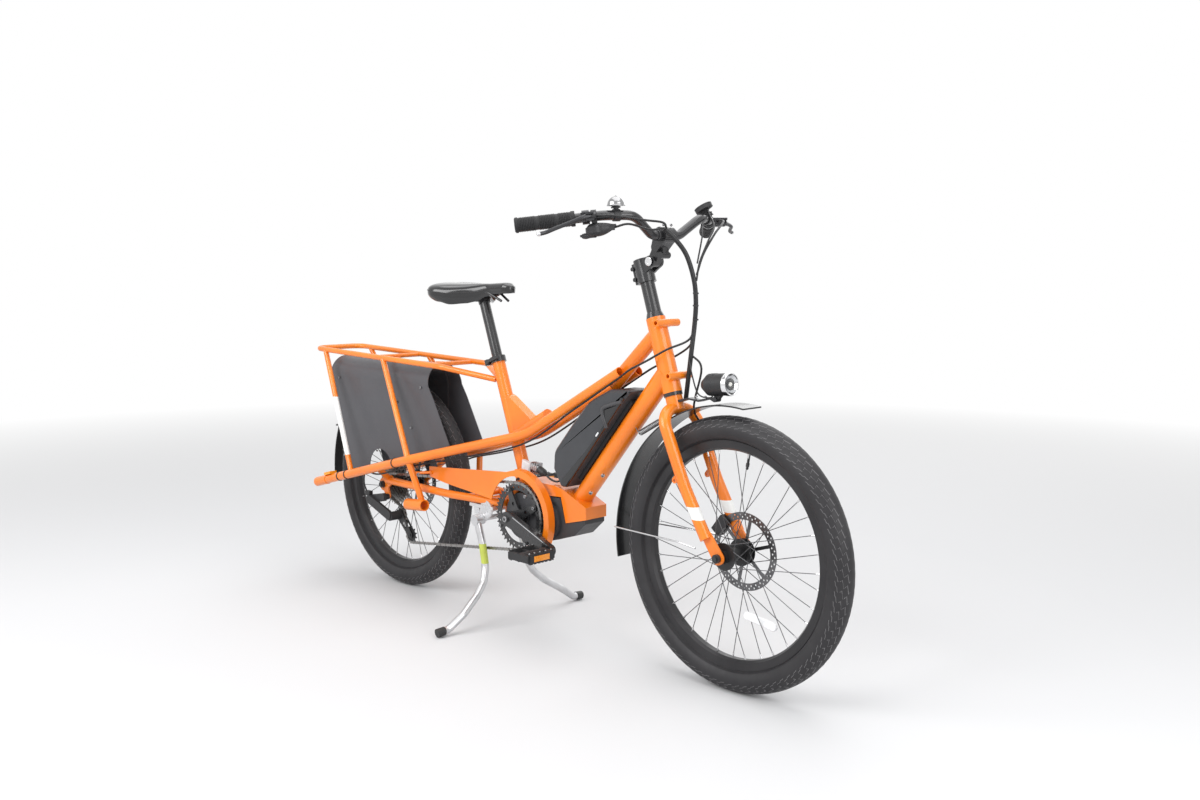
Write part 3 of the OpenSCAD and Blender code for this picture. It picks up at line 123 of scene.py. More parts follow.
def areaLight(name, spot, target, size, power):
    data = bpy.data.lights.new(name, "AREA")
    data.shape = "RECTANGLE"
    data.size, data.size_y = size
    data.energy = power
    aim(addObject(name, data), spot, Vector(target) - Vector(spot))


cameraData = bpy.data.cameras.new("camera")
cameraData.lens = view["lens"]
cameraData.sensor_width = view["sensor"]
camera = addObject("camera", cameraData)
aim(camera, view["place"], view["look"])
bpy.context.scene.camera = camera
bpy.context.scene.view_settings.view_transform = "Standard"
for lightName, light in lights.items():
    areaLight(lightName, *light)


def feed(tree, target, inputs):
    # sets a node's sockets, or links what comes from another node
    for key, value in inputs.items():
        if isinstance(value, bpy.types.NodeSocket):
            tree.links.new(value, target.inputs[key])
        else:
            target.inputs[key].default_value = value


def addNode(tree, kind, inputs=(), **traits):
    n = tree.nodes.new(kind)
    for trait, value in traits.items():
        setattr(n, trait, value)
    feed(tree, n, dict(inputs))
    return n


def sums(tree, operation, a, b=None):
    inputs = {0: a} if b is None else {0: a, 1: b}
    return addNode(tree, "ShaderNodeMath", inputs, operation=operation).outputs[0]


def newMaterial(name):
    m = bpy.data.materials.new(name)
    m.use_nodes = True
    tree = m.node_tree
    tree.nodes.clear()
    shader = addNode(tree, "ShaderNodeBsdfPrincipled")
    addNode(tree, "ShaderNodeOutputMaterial", {"Surface": shader.outputs["BSDF"]})
    return m, tree, shader


def paleRoom():
    # white where it is seen, straight or mirrored, and dimmer as a light
    world = bpy.data.worlds.new("paleRoom")
    bpy.context.scene.world = world
    world.use_nodes = True
    tree = world.node_tree
    tree.nodes.clear()
    rays = addNode(tree, "ShaderNodeLightPath").outputs
    seen = sums(tree, "MAXIMUM", rays["Is Camera Ray"], rays["Is Glossy Ray"])
    seen = sums(tree, "MAXIMUM", seen, rays["Is Transmission Ray"])
    dim = addNode(tree, "ShaderNodeBackground", {"Color": (*studio["sky"], 1), "Strength": studio["world"]})
    white = addNode(tree, "ShaderNodeBackground", {"Color": (1, 1, 1, 1), "Strength": 1.0})
    mix = addNode(tree, "ShaderNodeMixShader", {0: seen, 1: dim.outputs[0], 2: white.outputs[0]})
    addNode(tree, "ShaderNodeOutputWorld", {"Surface": mix.outputs[0]})


def floorFinish():
    # pale floor that fades to white away from the bike
    m, tree, shader = newMaterial("paleFloor")
    tone = studio["floorTone"]
    feed(tree, shader, {"Base Color": (tone, tone, tone * 1.01, 1), "Roughness": studio["floorRough"]})
    glow = addNode(tree, "ShaderNodeEmission", {"Color": (1, 1, 1, 1)})
    where = addNode(tree, "ShaderNodeTexCoord").outputs["Object"]
    length = addNode(tree, "ShaderNodeVectorMath", {0: where}, operation="LENGTH")
    near, far = studio["fade"]
    fade = addNode(tree, "ShaderNodeMapRange",
                   {"Value": length.outputs["Value"], "From Min": near, "From Max": far})
    mix = addNode(tree, "ShaderNodeMixShader",
                  {0: fade.outputs["Result"], 1: shader.outputs["BSDF"], 2: glow.outputs[0]})
    feed(tree, tree.nodes["Material Output"], {"Surface": mix.outputs[0]})
    return m


paleRoom()
floorMesh = bpy.data.meshes.new("studioFloor")
reach = studio["floorHalf"]
floorMesh.from_pydata([(-reach, -reach, 0), (reach, -reach, 0), (reach, reach, 0), (-reach, reach, 0)],
                      [], [(0, 1, 2, 3)])
floorMesh.materials.append(floorFinish())
addObject("studioFloor", floorMesh)
print("camera, light and floor set")


# Finishes: small steps of the node trees first.
def place(tree):
    return addNode(tree, "ShaderNodeTexCoord").outputs["Object"]


def noise(tree, where, scale, detail):
    inputs = {"Vector": where, "Scale": scale, "Detail": detail}
    return addNode(tree, "ShaderNodeTexNoise", inputs).outputs["Fac"]


def band(tree, value, low, high, a=0.0, b=1.0):
    return addNode(tree, "ShaderNodeMapRange", {"Value": value, "From Min": low, "From Max": high,
                                                "To Min": a, "To Max": b}).outputs["Result"]


def mixColours(tree, share, a, b, blend="MIX"):
    a, b = ((*c, 1) if isinstance(c, tuple) else c for c in (a, b))
    return addNode(tree, "ShaderNodeMix", {"Factor": share, 6: a, 7: b}, data_type="RGBA",
                   blend_type=blend).outputs[2]


def bump(tree, shader, height, strength, distance):
    n = addNode(tree, "ShaderNodeBump", {"Height": height, "Strength": strength, "Distance": distance})
    feed(tree, shader, {"Normal": n.outputs["Normal"]})


def axes(tree, where):
    return addNode(tree, "ShaderNodeSeparateXYZ", {0: where}).outputs


def above(tree, value, low):
    return sums(tree, "GREATER_THAN", value, low)


def below(tree, value, high):
    return sums(tree, "LESS_THAN", value, high)


def both(tree, a, b):
    return sums(tree, "MULTIPLY", a, b)


def between(tree, value, low, high):
    return both(tree, above(tree, value, low), below(tree, value, high))


def absolute(tree, value):
    return sums(tree, "ABSOLUTE", value)


paint = {
    "orange": (0.90, 0.225, 0.006),
    "orangeDeep": (0.82, 0.185, 0.005),
    "white": (0.86, 0.86, 0.84),
    "coat": 0.5,
    "coatRough": 0.07,
    "rough": 0.34,
    "shine": 0.4,
}


def glossPaint(name, white=None):
    # orange lacquer with a fine orange peel; white(tree, axes) marks the plain white bands
    m, tree, shader = newMaterial(name)
    where = place(tree)
    cloud = band(tree, noise(tree, where, 7.0, 3.0), 0.35, 0.65)
    colour = mixColours(tree, cloud, paint["orange"], paint["orangeDeep"])
    if white:
        colour = mixColours(tree, white(tree, axes(tree, where)), colour, paint["white"])
    wear = noise(tree, where, 60.0, 4.0)
    feed(tree, shader, {
        "Base Color": colour,
        "Roughness": band(tree, wear, 0.3, 0.8, paint["rough"] - 0.05, paint["rough"] + 0.08),
        "Coat Weight": paint["coat"],
        "Coat Roughness": paint["coatRough"],
        "Specular IOR Level": paint["shine"],
    })
    bump(tree, shader, noise(tree, where, 420.0, 2.0), 0.05, 0.0006)
    return m


def grained(name, colour, other, rough, grain=900.0, depth=0.12, metal=0.0, coat=0.0):
    # moulded or coated surface with a fine grain and slightly uneven colour
    m, tree, shader = newMaterial(name)
    where = place(tree)
    feed(tree, shader, {
        "Base Color": mixColours(tree, band(tree, noise(tree, where, 14.0, 4.0), 0.3, 0.7), colour, other),
        "Roughness": band(tree, noise(tree, where, 90.0, 3.0), 0.3, 0.7, rough - 0.05, rough + 0.06),
        "Metallic": metal,
        "Specular IOR Level": 0.32,
        "Coat Weight": coat,
        "Coat Roughness": 0.1,
    })
    bump(tree, shader, noise(tree, where, grain, 3.0), depth, 0.0004)
    return m


def shine(name, colour, rough, metal=0.0, coat=0.0, glow=0.0, clear=0.0):
    # small bright pieces: even colour broken up by faint clouding
    m, tree, shader = newMaterial(name)
    darker = tuple(c * 0.86 for c in colour)
    tint = mixColours(tree, band(tree, noise(tree, place(tree), 60.0, 3.0), 0.35, 0.65), colour, darker)
    feed(tree, shader, {"Base Color": tint, "Roughness": rough, "Metallic": metal, "Coat Weight": coat,
                        "Transmission Weight": clear})
    if glow:
        feed(tree, shader, {"Emission Color": tint, "Emission Strength": glow})
    return m


def facets(name, colour, other, size=420.0):
    # moulded reflector: small prisms as cells
    m, tree, shader = newMaterial(name)
    cells = addNode(tree, "ShaderNodeTexVoronoi", {"Vector": place(tree), "Scale": size}).outputs["Distance"]
    feed(tree, shader, {"Base Color": mixColours(tree, cells, colour, other), "Roughness": 0.15,
                        "Coat Weight": 0.6})
    bump(tree, shader, cells, 0.4, 0.001)
    return m


def clouded(tree, where, colour, scale, low):
    # the colour, darkened here and there
    cloud = band(tree, noise(tree, where, scale, 3.0), 0.3, 0.7, low, 1.0)
    return mixColours(tree, 1.0, colour, cloud, "MULTIPLY")


def twoTone(name, mask, low, high, roughs, metals, coat=0.0):
    # two finishes on one node, told apart by mask(tree, where)
    m, tree, shader = newMaterial(name)
    where = place(tree)
    share = mask(tree, where)
    feed(tree, shader, {
        "Base Color": clouded(tree, where, mixColours(tree, share, low, high), 30.0, 0.88),
        "Roughness": band(tree, share, 0, 1, *roughs),
        "Metallic": band(tree, share, 0, 1, *metals),
        "Coat Weight": coat,
    })
    bump(tree, shader, noise(tree, where, 900.0, 2.0), 0.06, 0.0004)
    return m


# Where finishes change on one node, in metres of the shared frame.
marks = {
    "hubShell": 0.0315,
    "nipples": 0.2265,
    "fenderEdge": 0.0327,
    "reflectorX": -0.791,
    "forkBand": (0.393, 0.420),
    "forkLegY": 0.040,
    "strutBand": (0.395, 0.560),
    "strutX": -0.690,
    "footY": 0.2335,
    "stripBand": (0.160, 0.212),
    "stripY": -0.050,
    "stripX": -0.164,
}


def beyond(centre, radius):
    # outside a cylinder about a wheel's axle
    def mask(tree, where):
        away = addNode(tree, "ShaderNodeVectorMath", {0: where, 1: centre}, operation="SUBTRACT")
        x, _, z = axes(tree, away.outputs["Vector"])
        return above(tree, sums(tree, "SQRT", sums(tree, "ADD", both(tree, x, x), both(tree, z, z))), radius)
    return mask


def fenderEdge(tree, where):
    return above(tree, absolute(tree, axes(tree, where)[1]), marks["fenderEdge"])


def inReflector(tree, where):
    return below(tree, axes(tree, where)[0], marks["reflectorX"])


def forkWhite(tree, parts):
    return both(tree, between(tree, parts[2], *marks["forkBand"]),
                above(tree, absolute(tree, parts[1]), marks["forkLegY"]))


def strutWhite(tree, parts):
    # the rear strut on each side is white between the rail and the skirt's middle
    return both(tree, below(tree, parts[0], marks["strutX"]), between(tree, parts[2], *marks["strutBand"]))


def standMix():
    # silver legs, black feet and a plain yellow-green strip on the right leg
    m, tree, shader = newMaterial("standMix")
    where = place(tree)
    parts = axes(tree, where)
    feet = above(tree, absolute(tree, parts[1]), marks["footY"])
    strip = both(tree, between(tree, parts[2], *marks["stripBand"]), below(tree, parts[1], marks["stripY"]))
    strip = both(tree, strip, above(tree, parts[0], marks["stripX"]))
    colour = mixColours(tree, strip, (0.62, 0.62, 0.63), (0.55, 0.62, 0.10))
    colour = mixColours(tree, feet, colour, (0.018, 0.018, 0.018))
    plain = sums(tree, "MAXIMUM", feet, strip)
    feed(tree, shader, {
        "Base Color": clouded(tree, where, colour, 40.0, 0.85),
        "Roughness": band(tree, plain, 0, 1, 0.28, 0.5),
        "Metallic": band(tree, plain, 0, 1, 0.75, 0.0),
    })
    bump(tree, shader, noise(tree, where, 700.0, 2.0), 0.05, 0.0004)
    return m


# colour, cloud colour, roughness, then grain, its depth, metal and coat
moulded = {
    "blackLacquer": ((0.018, 0.018, 0.019), (0.028, 0.028, 0.03), 0.27, 500.0, 0.03, 0.0, 0.5),
    "blackPlastic": ((0.022, 0.022, 0.023), (0.032, 0.032, 0.034), 0.46),
    "motorPlastic": ((0.040, 0.040, 0.043), (0.052, 0.052, 0.056), 0.42, 1200.0, 0.1),
    "batteryPlastic": ((0.045, 0.047, 0.052), (0.055, 0.057, 0.062), 0.38, 1300.0, 0.1),
    "skirtSheet": ((0.078, 0.078, 0.086), (0.086, 0.086, 0.094), 0.36, 700.0, 0.01),
    "hose": ((0.015, 0.015, 0.016), (0.022, 0.022, 0.023), 0.38, 1500.0, 0.05),
    "gripRubber": ((0.016, 0.016, 0.017), (0.026, 0.026, 0.027), 0.62, 1100.0, 0.2),
    "tyreRubber": ((0.020, 0.019, 0.021), (0.030, 0.029, 0.031), 0.55, 800.0, 0.12),
    "rimBlack": ((0.030, 0.029, 0.031), (0.042, 0.041, 0.043), 0.33, 700.0, 0.04, 0.4),
    "chainSteel": ((0.24, 0.235, 0.23), (0.33, 0.32, 0.31), 0.32, 600.0, 0.05, 1.0),
    "darkAlloy": ((0.035, 0.035, 0.038), (0.055, 0.055, 0.058), 0.34, 800.0, 0.05, 0.5),
    "silverPaint": ((0.62, 0.62, 0.63), (0.70, 0.70, 0.71), 0.3, 700.0, 0.05, 0.7),
    "blackVinyl": ((0.005, 0.005, 0.006), (0.009, 0.009, 0.010), 0.16, 900.0, 0.0, 0.0, 0.8),
    "chrome": ((0.75, 0.75, 0.76), (0.82, 0.82, 0.83), 0.08, 500.0, 0.01, 1.0),
    "boltSteel": ((0.32, 0.32, 0.33), (0.42, 0.42, 0.43), 0.28, 900.0, 0.03, 1.0),
    "sipeGrey": ((0.15, 0.145, 0.15), (0.20, 0.195, 0.20), 0.6, 900.0, 0.1),
    "handleGrey": ((0.05, 0.05, 0.054), (0.07, 0.07, 0.074), 0.3, 900.0, 0.05),
    "glossBlack": ((0.012, 0.012, 0.013), (0.018, 0.018, 0.02), 0.14, 900.0, 0.02, 0.0, 0.6),
}
# colour, roughness, then metal, coat, glow and clearness
bright = {
    "bellSteel": ((0.34, 0.34, 0.345), 0.22, 1.0),
    "markWhite": ((0.78, 0.79, 0.80), 0.35),
    "screen": ((0.03, 0.035, 0.04), 0.06, 0.0, 1.0),
    "keyGrey": ((0.30, 0.31, 0.33), 0.4),
    "bulb": ((0.95, 0.93, 0.86), 0.2, 0.0, 0.0, 0.4),
    "clearLens": ((0.95, 0.96, 0.97), 0.04, 0.0, 0.0, 0.0, 1.0),
    "coilSteel": ((0.16, 0.16, 0.165), 0.3, 0.9),
    "brightEdge": ((0.62, 0.62, 0.63), 0.25, 0.9),
}
darkMetal, amberTint = (0.02, 0.02, 0.021), (0.95, 0.36, 0.02)
finishes = {name: grained(name, *look) for name, look in moulded.items()}
finishes.update({name: shine(name, *look) for name, look in bright.items()})
finishes.update({
    "orangePaint": glossPaint("orangePaint"),
    "forkPaint": glossPaint("forkPaint", forkWhite),
    "strutPaint": glossPaint("strutPaint", strutWhite),
    "standMix": standMix(),
    "reflectorWhite": facets("reflectorWhite", (0.92, 0.92, 0.92), (0.80, 0.80, 0.82)),
    "amber": facets("amber", amberTint, (0.70, 0.20, 0.01)),
    "fenderMix": twoTone("fenderMix", fenderEdge, (0.010, 0.010, 0.011), (0.7, 0.7, 0.71),
                         (0.24, 0.2), (0.0, 1.0), 0.15),
    "fittingMix": twoTone("fittingMix", inReflector, darkMetal, amberTint, (0.4, 0.2), (0.0, 0.0)),
})
for end, hub in hubs.items():
    hubMix, spokeMix = end + "HubMix", end + "SpokeMix"
    finishes[hubMix] = twoTone(hubMix, beyond(hub, marks["hubShell"]), darkMetal, (0.16, 0.16, 0.165),
                               (0.35, 0.28), (0.2, 1.0))
    finishes[spokeMix] = twoTone(spokeMix, beyond(hub, marks["nipples"]), (0.11, 0.11, 0.115),
                                 (0.70, 0.70, 0.71), (0.3, 0.2), (0.9, 1.0))

carried = {
    "orangePaint": ("main_frame", "seat_tube", "side_rails", "rear_rack", "chainstays", "chain_guard"),
    "strutPaint": ("rack_struts",),
    "forkPaint": ("fork",),
    "blackLacquer": ("headset_cups", "riser", "stem_arm", "handlebar", "seatpost", "seat_clamp",
                     "clamp_lever", "crankset", "saddle_rails"),
    "blackPlastic": ("rear_fender", "derailleur", "shifter_pod", "shift_lever", "bar_controls", "bell",
                     "bell_striker", "headlamp", "pedal_right", "pedal_left", "pulley_upper",
                     "pulley_lower", "battery_mount"),
    "fenderMix": ("front_fender",),
    "fittingMix": ("frame_fittings",),
    "motorPlastic": ("motor_housing",),
    "batteryPlastic": ("battery_case",),
    "skirtSheet": ("wheel_skirts",),
    "hose": ("frame_cables", "steering_cables", "steering_spring"),
    "gripRubber": ("grips",),
    "tyreRubber": ("front_tyre", "rear_tyre"),
    "rimBlack": ("front_rim", "rear_rim"),
    "frontHubMix": ("front_hub",),
    "rearHubMix": ("rear_hub",),
    "frontSpokeMix": ("front_spokes",),
    "rearSpokeMix": ("rear_spokes",),
    "chainSteel": ("chain", "cassette"),
    "darkAlloy": ("front_caliper", "rear_caliper", "brake_bodies", "brake_lever_right",
                  "brake_lever_left", "lamp_bracket", "front_axle", "rear_axle"),
    "silverPaint": ("stand_bracket",),
    "standMix": ("stand_legs",),
    "blackVinyl": ("saddle",),
}
for name, members in carried.items():
    for member in members:
        mesh = nodes[member].data
        mesh.materials.clear()
        mesh.materials.append(finishes[name])
missing = sorted(set(nodes) - {n for members in carried.values() for n in members})
print("finishes on CAD nodes; without one:", missing)


# Helpers that make and place pieces.
def smoothMesh(name, mesh, sharp):
    mesh.shade_smooth()
    mesh.set_sharp_from_angle(angle=math.radians(sharp))
    return addObject(name, mesh)


def settle(obj, body, stands=()):
    # body is one body's name, or two with the points between which the piece bends
    if isinstance(body, str):
        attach(obj, body)
    else:
        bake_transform(obj, body[0], body[1], start=tuple(body[2]), end=tuple(body[3]))
    if stands:
        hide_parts(*stands)
    return obj


def newPiece(name, shape, finish, body, stands=(), sharp=35.0):
    # shape is its vertices and faces, finish a name from the finishes
    mesh = bpy.data.meshes.new(name)
    mesh.from_pydata([tuple(v) for v in shape[0]], [], shape[1])
    mesh.materials.append(finishes[finish])
    return settle(smoothMesh(name, mesh, sharp), body, stands)


def frameOn(z, near=(0, 0, 1)):
    # three axes with z first given, x as level as it can be
    z = Vector(z).normalized()
    side = Vector(near).cross(z)
    if side.length < 1e-3:
        side = Vector((1, 0, 0)).cross(z)
    x = side.normalized()
    return x, z.cross(x), z


def lathe(profile, centre, axis, steps, near=(0, 0, 1)):
    # turns a closed outline of (radius, height) points in millimetres about the axis
    x, y, z = frameOn(axis, near)
    centre = Vector(centre)
    verts, faces = [], []
    n = len(profile)
    for i in range(steps):
        a = 2 * math.pi * i / steps
        out = x * math.cos(a) + y * math.sin(a)
        verts += [centre + out * (r / 1000) + z * (h / 1000) for r, h in profile]
        j = (i + 1) % steps
        for k in range(n):
            l = (k + 1) % n
            faces.append((i * n + k, j * n + k, j * n + l, i * n + l))
    return verts, faces


def joinShapes(*shapes):
    verts, faces = [], []
    for v, f in shapes:
        base = len(verts)
        verts += v
        faces += [tuple(i + base for i in face) for face in f]
    return verts, faces


def smoothLine(points, steps=8):
    # a smooth line through the points, by Catmull-Rom
    p = [Vector(q) for q in points]
    p = [p[0] * 2 - p[1]] + p + [p[-1] * 2 - p[-2]]
    line = []
    for i in range(1, len(p) - 2):
        a, b, c, d = p[i - 1:i + 3]
        for k in range(steps):
            t = k / steps
            line.append(0.5 * ((2 * b) + (c - a) * t + (2 * a - 5 * b + 4 * c - d) * t * t
                               + (3 * b - a - 3 * c + d) * t ** 3))
    line.append(p[-2])
    return line


def tube(line, radius, sides):
    # a round tube along a line, its sides carried along without twist; radius is one number or one per point
    line = [Vector(q) for q in line]
    n = len(line)
    radii = radius if isinstance(radius, (list, tuple)) else [radius] * n
    tangents = [(line[min(n - 1, i + 1)] - line[max(0, i - 1)]).normalized() for i in range(n)]
    side = frameOn(tangents[0])[0]
    verts, faces = [], []
    for i, t in enumerate(tangents):
        side = (side - t * side.dot(t)).normalized()
        up = t.cross(side)
        for k in range(sides):
            a = 2 * math.pi * k / sides
            verts.append(line[i] + (side * math.cos(a) + up * math.sin(a)) * (radii[i] / 1000))
    for i in range(n - 1):
        for k in range(sides):
            l = (k + 1) % sides
            faces.append((i * sides + k, i * sides + l, (i + 1) * sides + l, (i + 1) * sides + k))
    faces.append(tuple(range(sides))[::-1])
    faces.append(tuple((n - 1) * sides + k for k in range(sides)))
    return verts, faces


def slab(outline, y0, y1, bevel=0.0):
    # a side outline (x, z from the rear axle) from y0 to y1 in millimetres, its edges cut back by bevel
    n = len(outline)
    pairs = zip(outline, outline[1:] + outline[:1])
    if sum(a[0] * b[1] - b[0] * a[1] for a, b in pairs) < 0:
        outline = outline[::-1]

    def inset(d):
        ring = []
        for i in range(n):
            a, b, c = (Vector(outline[(i + s) % n]) for s in (-1, 0, 1))
            u, v = (b - a).normalized(), (c - b).normalized()
            m = Vector((-u.y - v.y, u.x + v.x))
            ring.append(b + m * (d / max(0.3, 1 + u.dot(v))))
        return ring

    levels = [(y0, bevel), (y0 + bevel, 0), (y1 - bevel, 0), (y1, bevel)] if bevel else [(y0, 0), (y1, 0)]
    verts, faces = [], []
    for y, d in levels:
        verts += [at(q.x, y, q.y) for q in inset(d)]
    for k in range(len(levels) - 1):
        for i in range(n):
            j = (i + 1) % n
            faces.append((k * n + j, k * n + i, (k + 1) * n + i, (k + 1) * n + j))
    faces.append(tuple(range(n)))
    faces.append(tuple((len(levels) - 1) * n + i for i in range(n))[::-1])
    return verts, faces


def newTree(name, sockets):
    tree = bpy.data.node_groups.new(name, "GeometryNodeTree")
    tree.interface.new_socket("Geometry", in_out="INPUT", socket_type="NodeSocketGeometry")
    for label, kind, value in sockets:
        s = tree.interface.new_socket(label, in_out="INPUT", socket_type=kind)
        if value is not None:
            s.default_value = value
    tree.interface.new_socket("Material", in_out="INPUT", socket_type="NodeSocketMaterial")
    tree.interface.new_socket("Geometry", in_out="OUTPUT", socket_type="NodeSocketGeometry")
    return tree, addNode(tree, "NodeGroupInput").outputs


def endTree(tree, geometry, material):
    realize = addNode(tree, "GeometryNodeRealizeInstances", {"Geometry": geometry})
    coat = addNode(tree, "GeometryNodeSetMaterial",
                   {"Geometry": realize.outputs["Geometry"], "Material": material})
    addNode(tree, "NodeGroupOutput", {"Geometry": coat.outputs["Geometry"]})
    return tree


def roundTheAxleTree():
    # copies the carrier's own mesh round an axis
    tree, given = newTree("roundTheAxle", [
        ("Count", "NodeSocketInt", 6), ("Centre", "NodeSocketVector", (0, 0, 0)),
        ("Axis", "NodeSocketVector", (0, 1, 0)), ("Step", "NodeSocketFloat", 1.0)])
    line = addNode(tree, "GeometryNodeMeshLine", {"Count": given["Count"], "Offset": (0, 0, 0)})
    put = addNode(tree, "GeometryNodeInstanceOnPoints",
                  {"Points": line.outputs["Mesh"], "Instance": given["Geometry"]})
    index = addNode(tree, "GeometryNodeInputIndex").outputs[0]
    angle = sums(tree, "MULTIPLY", index, given["Step"])
    spin = addNode(tree, "FunctionNodeAxisAngleToRotation", {"Axis": given["Axis"], "Angle": angle})
    turn = addNode(tree, "GeometryNodeRotateInstances", {
        "Instances": put.outputs["Instances"], "Rotation": spin.outputs["Rotation"],
        "Pivot Point": given["Centre"], "Local Space": False})
    return endTree(tree, turn.outputs["Instances"], given["Material"])


def boltsTree():
    # a bolt at every point of the carrier, turned along the point's facing and as large as its width
    tree, given = newTree("bolts", [("Bolt", "NodeSocketObject", None)])
    shape = addNode(tree, "GeometryNodeObjectInfo", {"Object": given["Bolt"]})
    facing = addNode(tree, "GeometryNodeInputNamedAttribute", data_type="FLOAT_VECTOR")
    width = addNode(tree, "GeometryNodeInputNamedAttribute", data_type="FLOAT")
    feed(tree, facing, {"Name": "facing"})
    feed(tree, width, {"Name": "width"})
    turn = addNode(tree, "FunctionNodeAlignRotationToVector", {"Vector": facing.outputs["Attribute"]},
                   axis="Z")
    put = addNode(tree, "GeometryNodeInstanceOnPoints", {
        "Points": given["Geometry"], "Instance": shape.outputs["Geometry"],
        "Rotation": turn.outputs["Rotation"], "Scale": width.outputs["Attribute"]})
    return endTree(tree, put.outputs["Instances"], given["Material"])


def loose(name, verts, faces):
    # a mesh object that only carries a shape for a node tree
    mesh = bpy.data.meshes.new(name)
    mesh.from_pydata([tuple(v) for v in verts], [], faces)
    return addObject(name, mesh)


def bake(name, carrier, tree, values, body):
    # runs a node tree on the carrier, keeps the result as a plain mesh and drops the carrier
    mod = carrier.modifiers.new("nodes", "NODES")
    mod.node_group = tree
    for item in tree.interface.items_tree:
        if item.item_type == "SOCKET" and item.in_out == "INPUT" and item.name in values:
            mod[item.identifier] = values[item.name]
    graph = bpy.context.evaluated_depsgraph_get()
    mesh = bpy.data.meshes.new_from_object(carrier.evaluated_get(graph), depsgraph=graph)
    carrier.modifiers.remove(mod)
    bpy.data.objects.remove(carrier)
    mesh.name = name
    return settle(smoothMesh(name, mesh, 35), body)


roundTheAxle = roundTheAxleTree()
bolts = boltsTree()


def aroundAxis(name, shape, count, centre, axis, finish, body):
    return bake(name, loose(name + "One", *shape), roundTheAxle, {
        "Count": count, "Centre": tuple(centre), "Axis": tuple(axis), "Step": 2 * math.pi / count,
        "Material": finishes[finish]}, body)


# a socket-head bolt one millimetre in radius, standing on its own origin
boltProfile = ((0.02, 0.5), (0.45, 0.5), (0.52, 1.15), (0.88, 1.15), (1.0, 1.0), (1.0, 0.0), (0.02, -0.1))
boltHead = loose("boltHead", *lathe(boltProfile, (0, 0, 0), (0, 0, 1), 12, near=(0, 1, 0)))
boltHead.hide_render = True


def boltSet(name, spots, finish, body):
    # spots: (point, facing, head radius in mm)
    carrier = loose(name + "Points", [p for p, _, _ in spots], [])
    known = carrier.data.attributes
    known.new("facing", "FLOAT_VECTOR", "POINT")
    known.new("width", "FLOAT", "POINT")
    for i, (_, facing, width) in enumerate(spots):
        known["facing"].data[i].vector = Vector(facing).normalized()
        known["width"].data[i].value = width
    return bake(name, carrier, bolts, {"Bolt": boltHead, "Material": finishes[finish]}, body)


def turned(name, profile, spot, axis, steps, finish, body):
    return newPiece(name, lathe(profile, spot, axis, steps), finish, body)


def onSide(side, near, far):
    # both depths of a slab on one side, lower first
    return (near, far) if side > 0 else (-far, -near)


# The wheels: tyres with sipes, valves and spoke reflectors.
wheel = {
    "axis": (0, 1, 0),
    "steps": 144,
    "tyreR": 283.0,
    "treadR": 29.8,
    "ridge": 0.35,
    "wallR": 26.5,
    "bead": ((257.0, 12.2), (260.5, 14.8)),
    "beadIn": 10.0,
    "sipes": 84,
    # a sipe's first and last angle, its swing and half its width
    "sipeLines": ((12, 56, 0.0085, 0.75), (64, 80, 0.003, 0.5)),
    "sipeSunk": 0.25,
    "sipeLean": 0.004,
    "sipeR": 0.31,
    "valveTurn": 10,
    "stem": ((2.6, 200), (3.0, 201), (3.0, 206), (4.0, 206.5), (4.0, 214), (3.0, 215), (3.0, 240),
             (0.4, 240), (0.4, 200)),
    # middle, turn and depths of the reflectors, and their half length and half width
    "reflectors": {"front": (1352, -135, -8, -9, -2), "rear": (-88, 130, 32, -6, 1)},
    "oval": (46, 9),
}


def tyreProfile():
    # outer skin from bead to bead, then the inner wall back, as (radius, sideways)
    def arc(r, degrees):
        a = math.radians(degrees)
        return wheel["tyreR"] + r * math.cos(a), r * math.sin(a)

    skin = [arc(wheel["treadR"] + (wheel["ridge"] if 8 <= abs(k) <= 9 else 0), k * 5) for k in range(-26, 27)]
    inner = [arc(wheel["wallR"], k * 5.8) for k in range(20, -21, -2)]
    (toe, toeY), (heel, heelY) = wheel["bead"]
    outer = [(toe, -toeY), (heel, -heelY)] + skin + [(heel, heelY), (toe, toeY)]
    return outer + [(toe, wheel["beadIn"])] + inner + [(toe, -wheel["beadIn"])]


def sipeShape(centre):
    # one squiggle on each shoulder and a short cut beside the middle
    shapes = []
    for side in (-1, 1):
        for low, high, swing, r in wheel["sipeLines"]:
            points = []
            for k in range(7):
                a = math.radians(side * (low + (high - low) * k / 6))
                out = (wheel["tyreR"] + (wheel["treadR"] - wheel["sipeSunk"]) * math.cos(a)) / 1000
                turn = (swing * math.sin(k * 2.1) + wheel["sipeLean"] * side * k) / wheel["sipeR"]
                y = wheel["treadR"] / 1000 * math.sin(a)
                points.append(centre + Vector((out * math.sin(turn), y, out * math.cos(turn))))
            shapes.append(tube(points, r, 4))
    return joinShapes(*shapes)


valveUp = (math.sin(math.radians(wheel["valveTurn"])), 0, math.cos(math.radians(wheel["valveTurn"])))
for end, hub in hubs.items():
    body = end + "_wheel"
    newPiece(end + "TyreSkin", lathe(tyreProfile(), hub, wheel["axis"], wheel["steps"]), "tyreRubber", body,
             [end + "_tyre"], 28)
    aroundAxis(end + "TyreSipes", sipeShape(hub), wheel["sipes"], hub, wheel["axis"], "sipeGrey", body)
    turned(end + "Valve", wheel["stem"], hub, valveUp, 16, "blackPlastic", body)


def longOval(half, wide, x, z, degrees, steps=16):
    # outline of a bar with round ends, turned about its middle
    ring = []
    for k in range(steps):
        a = math.pi * (k / (steps - 1) - 0.5)
        ring.append((half - wide + wide * math.cos(a), wide * math.sin(a)))
    ring += [(-p, -q) for p, q in ring]
    c, s = math.cos(math.radians(degrees)), math.sin(math.radians(degrees))
    return [(x + p * c - q * s, z + p * s + q * c) for p, q in ring]


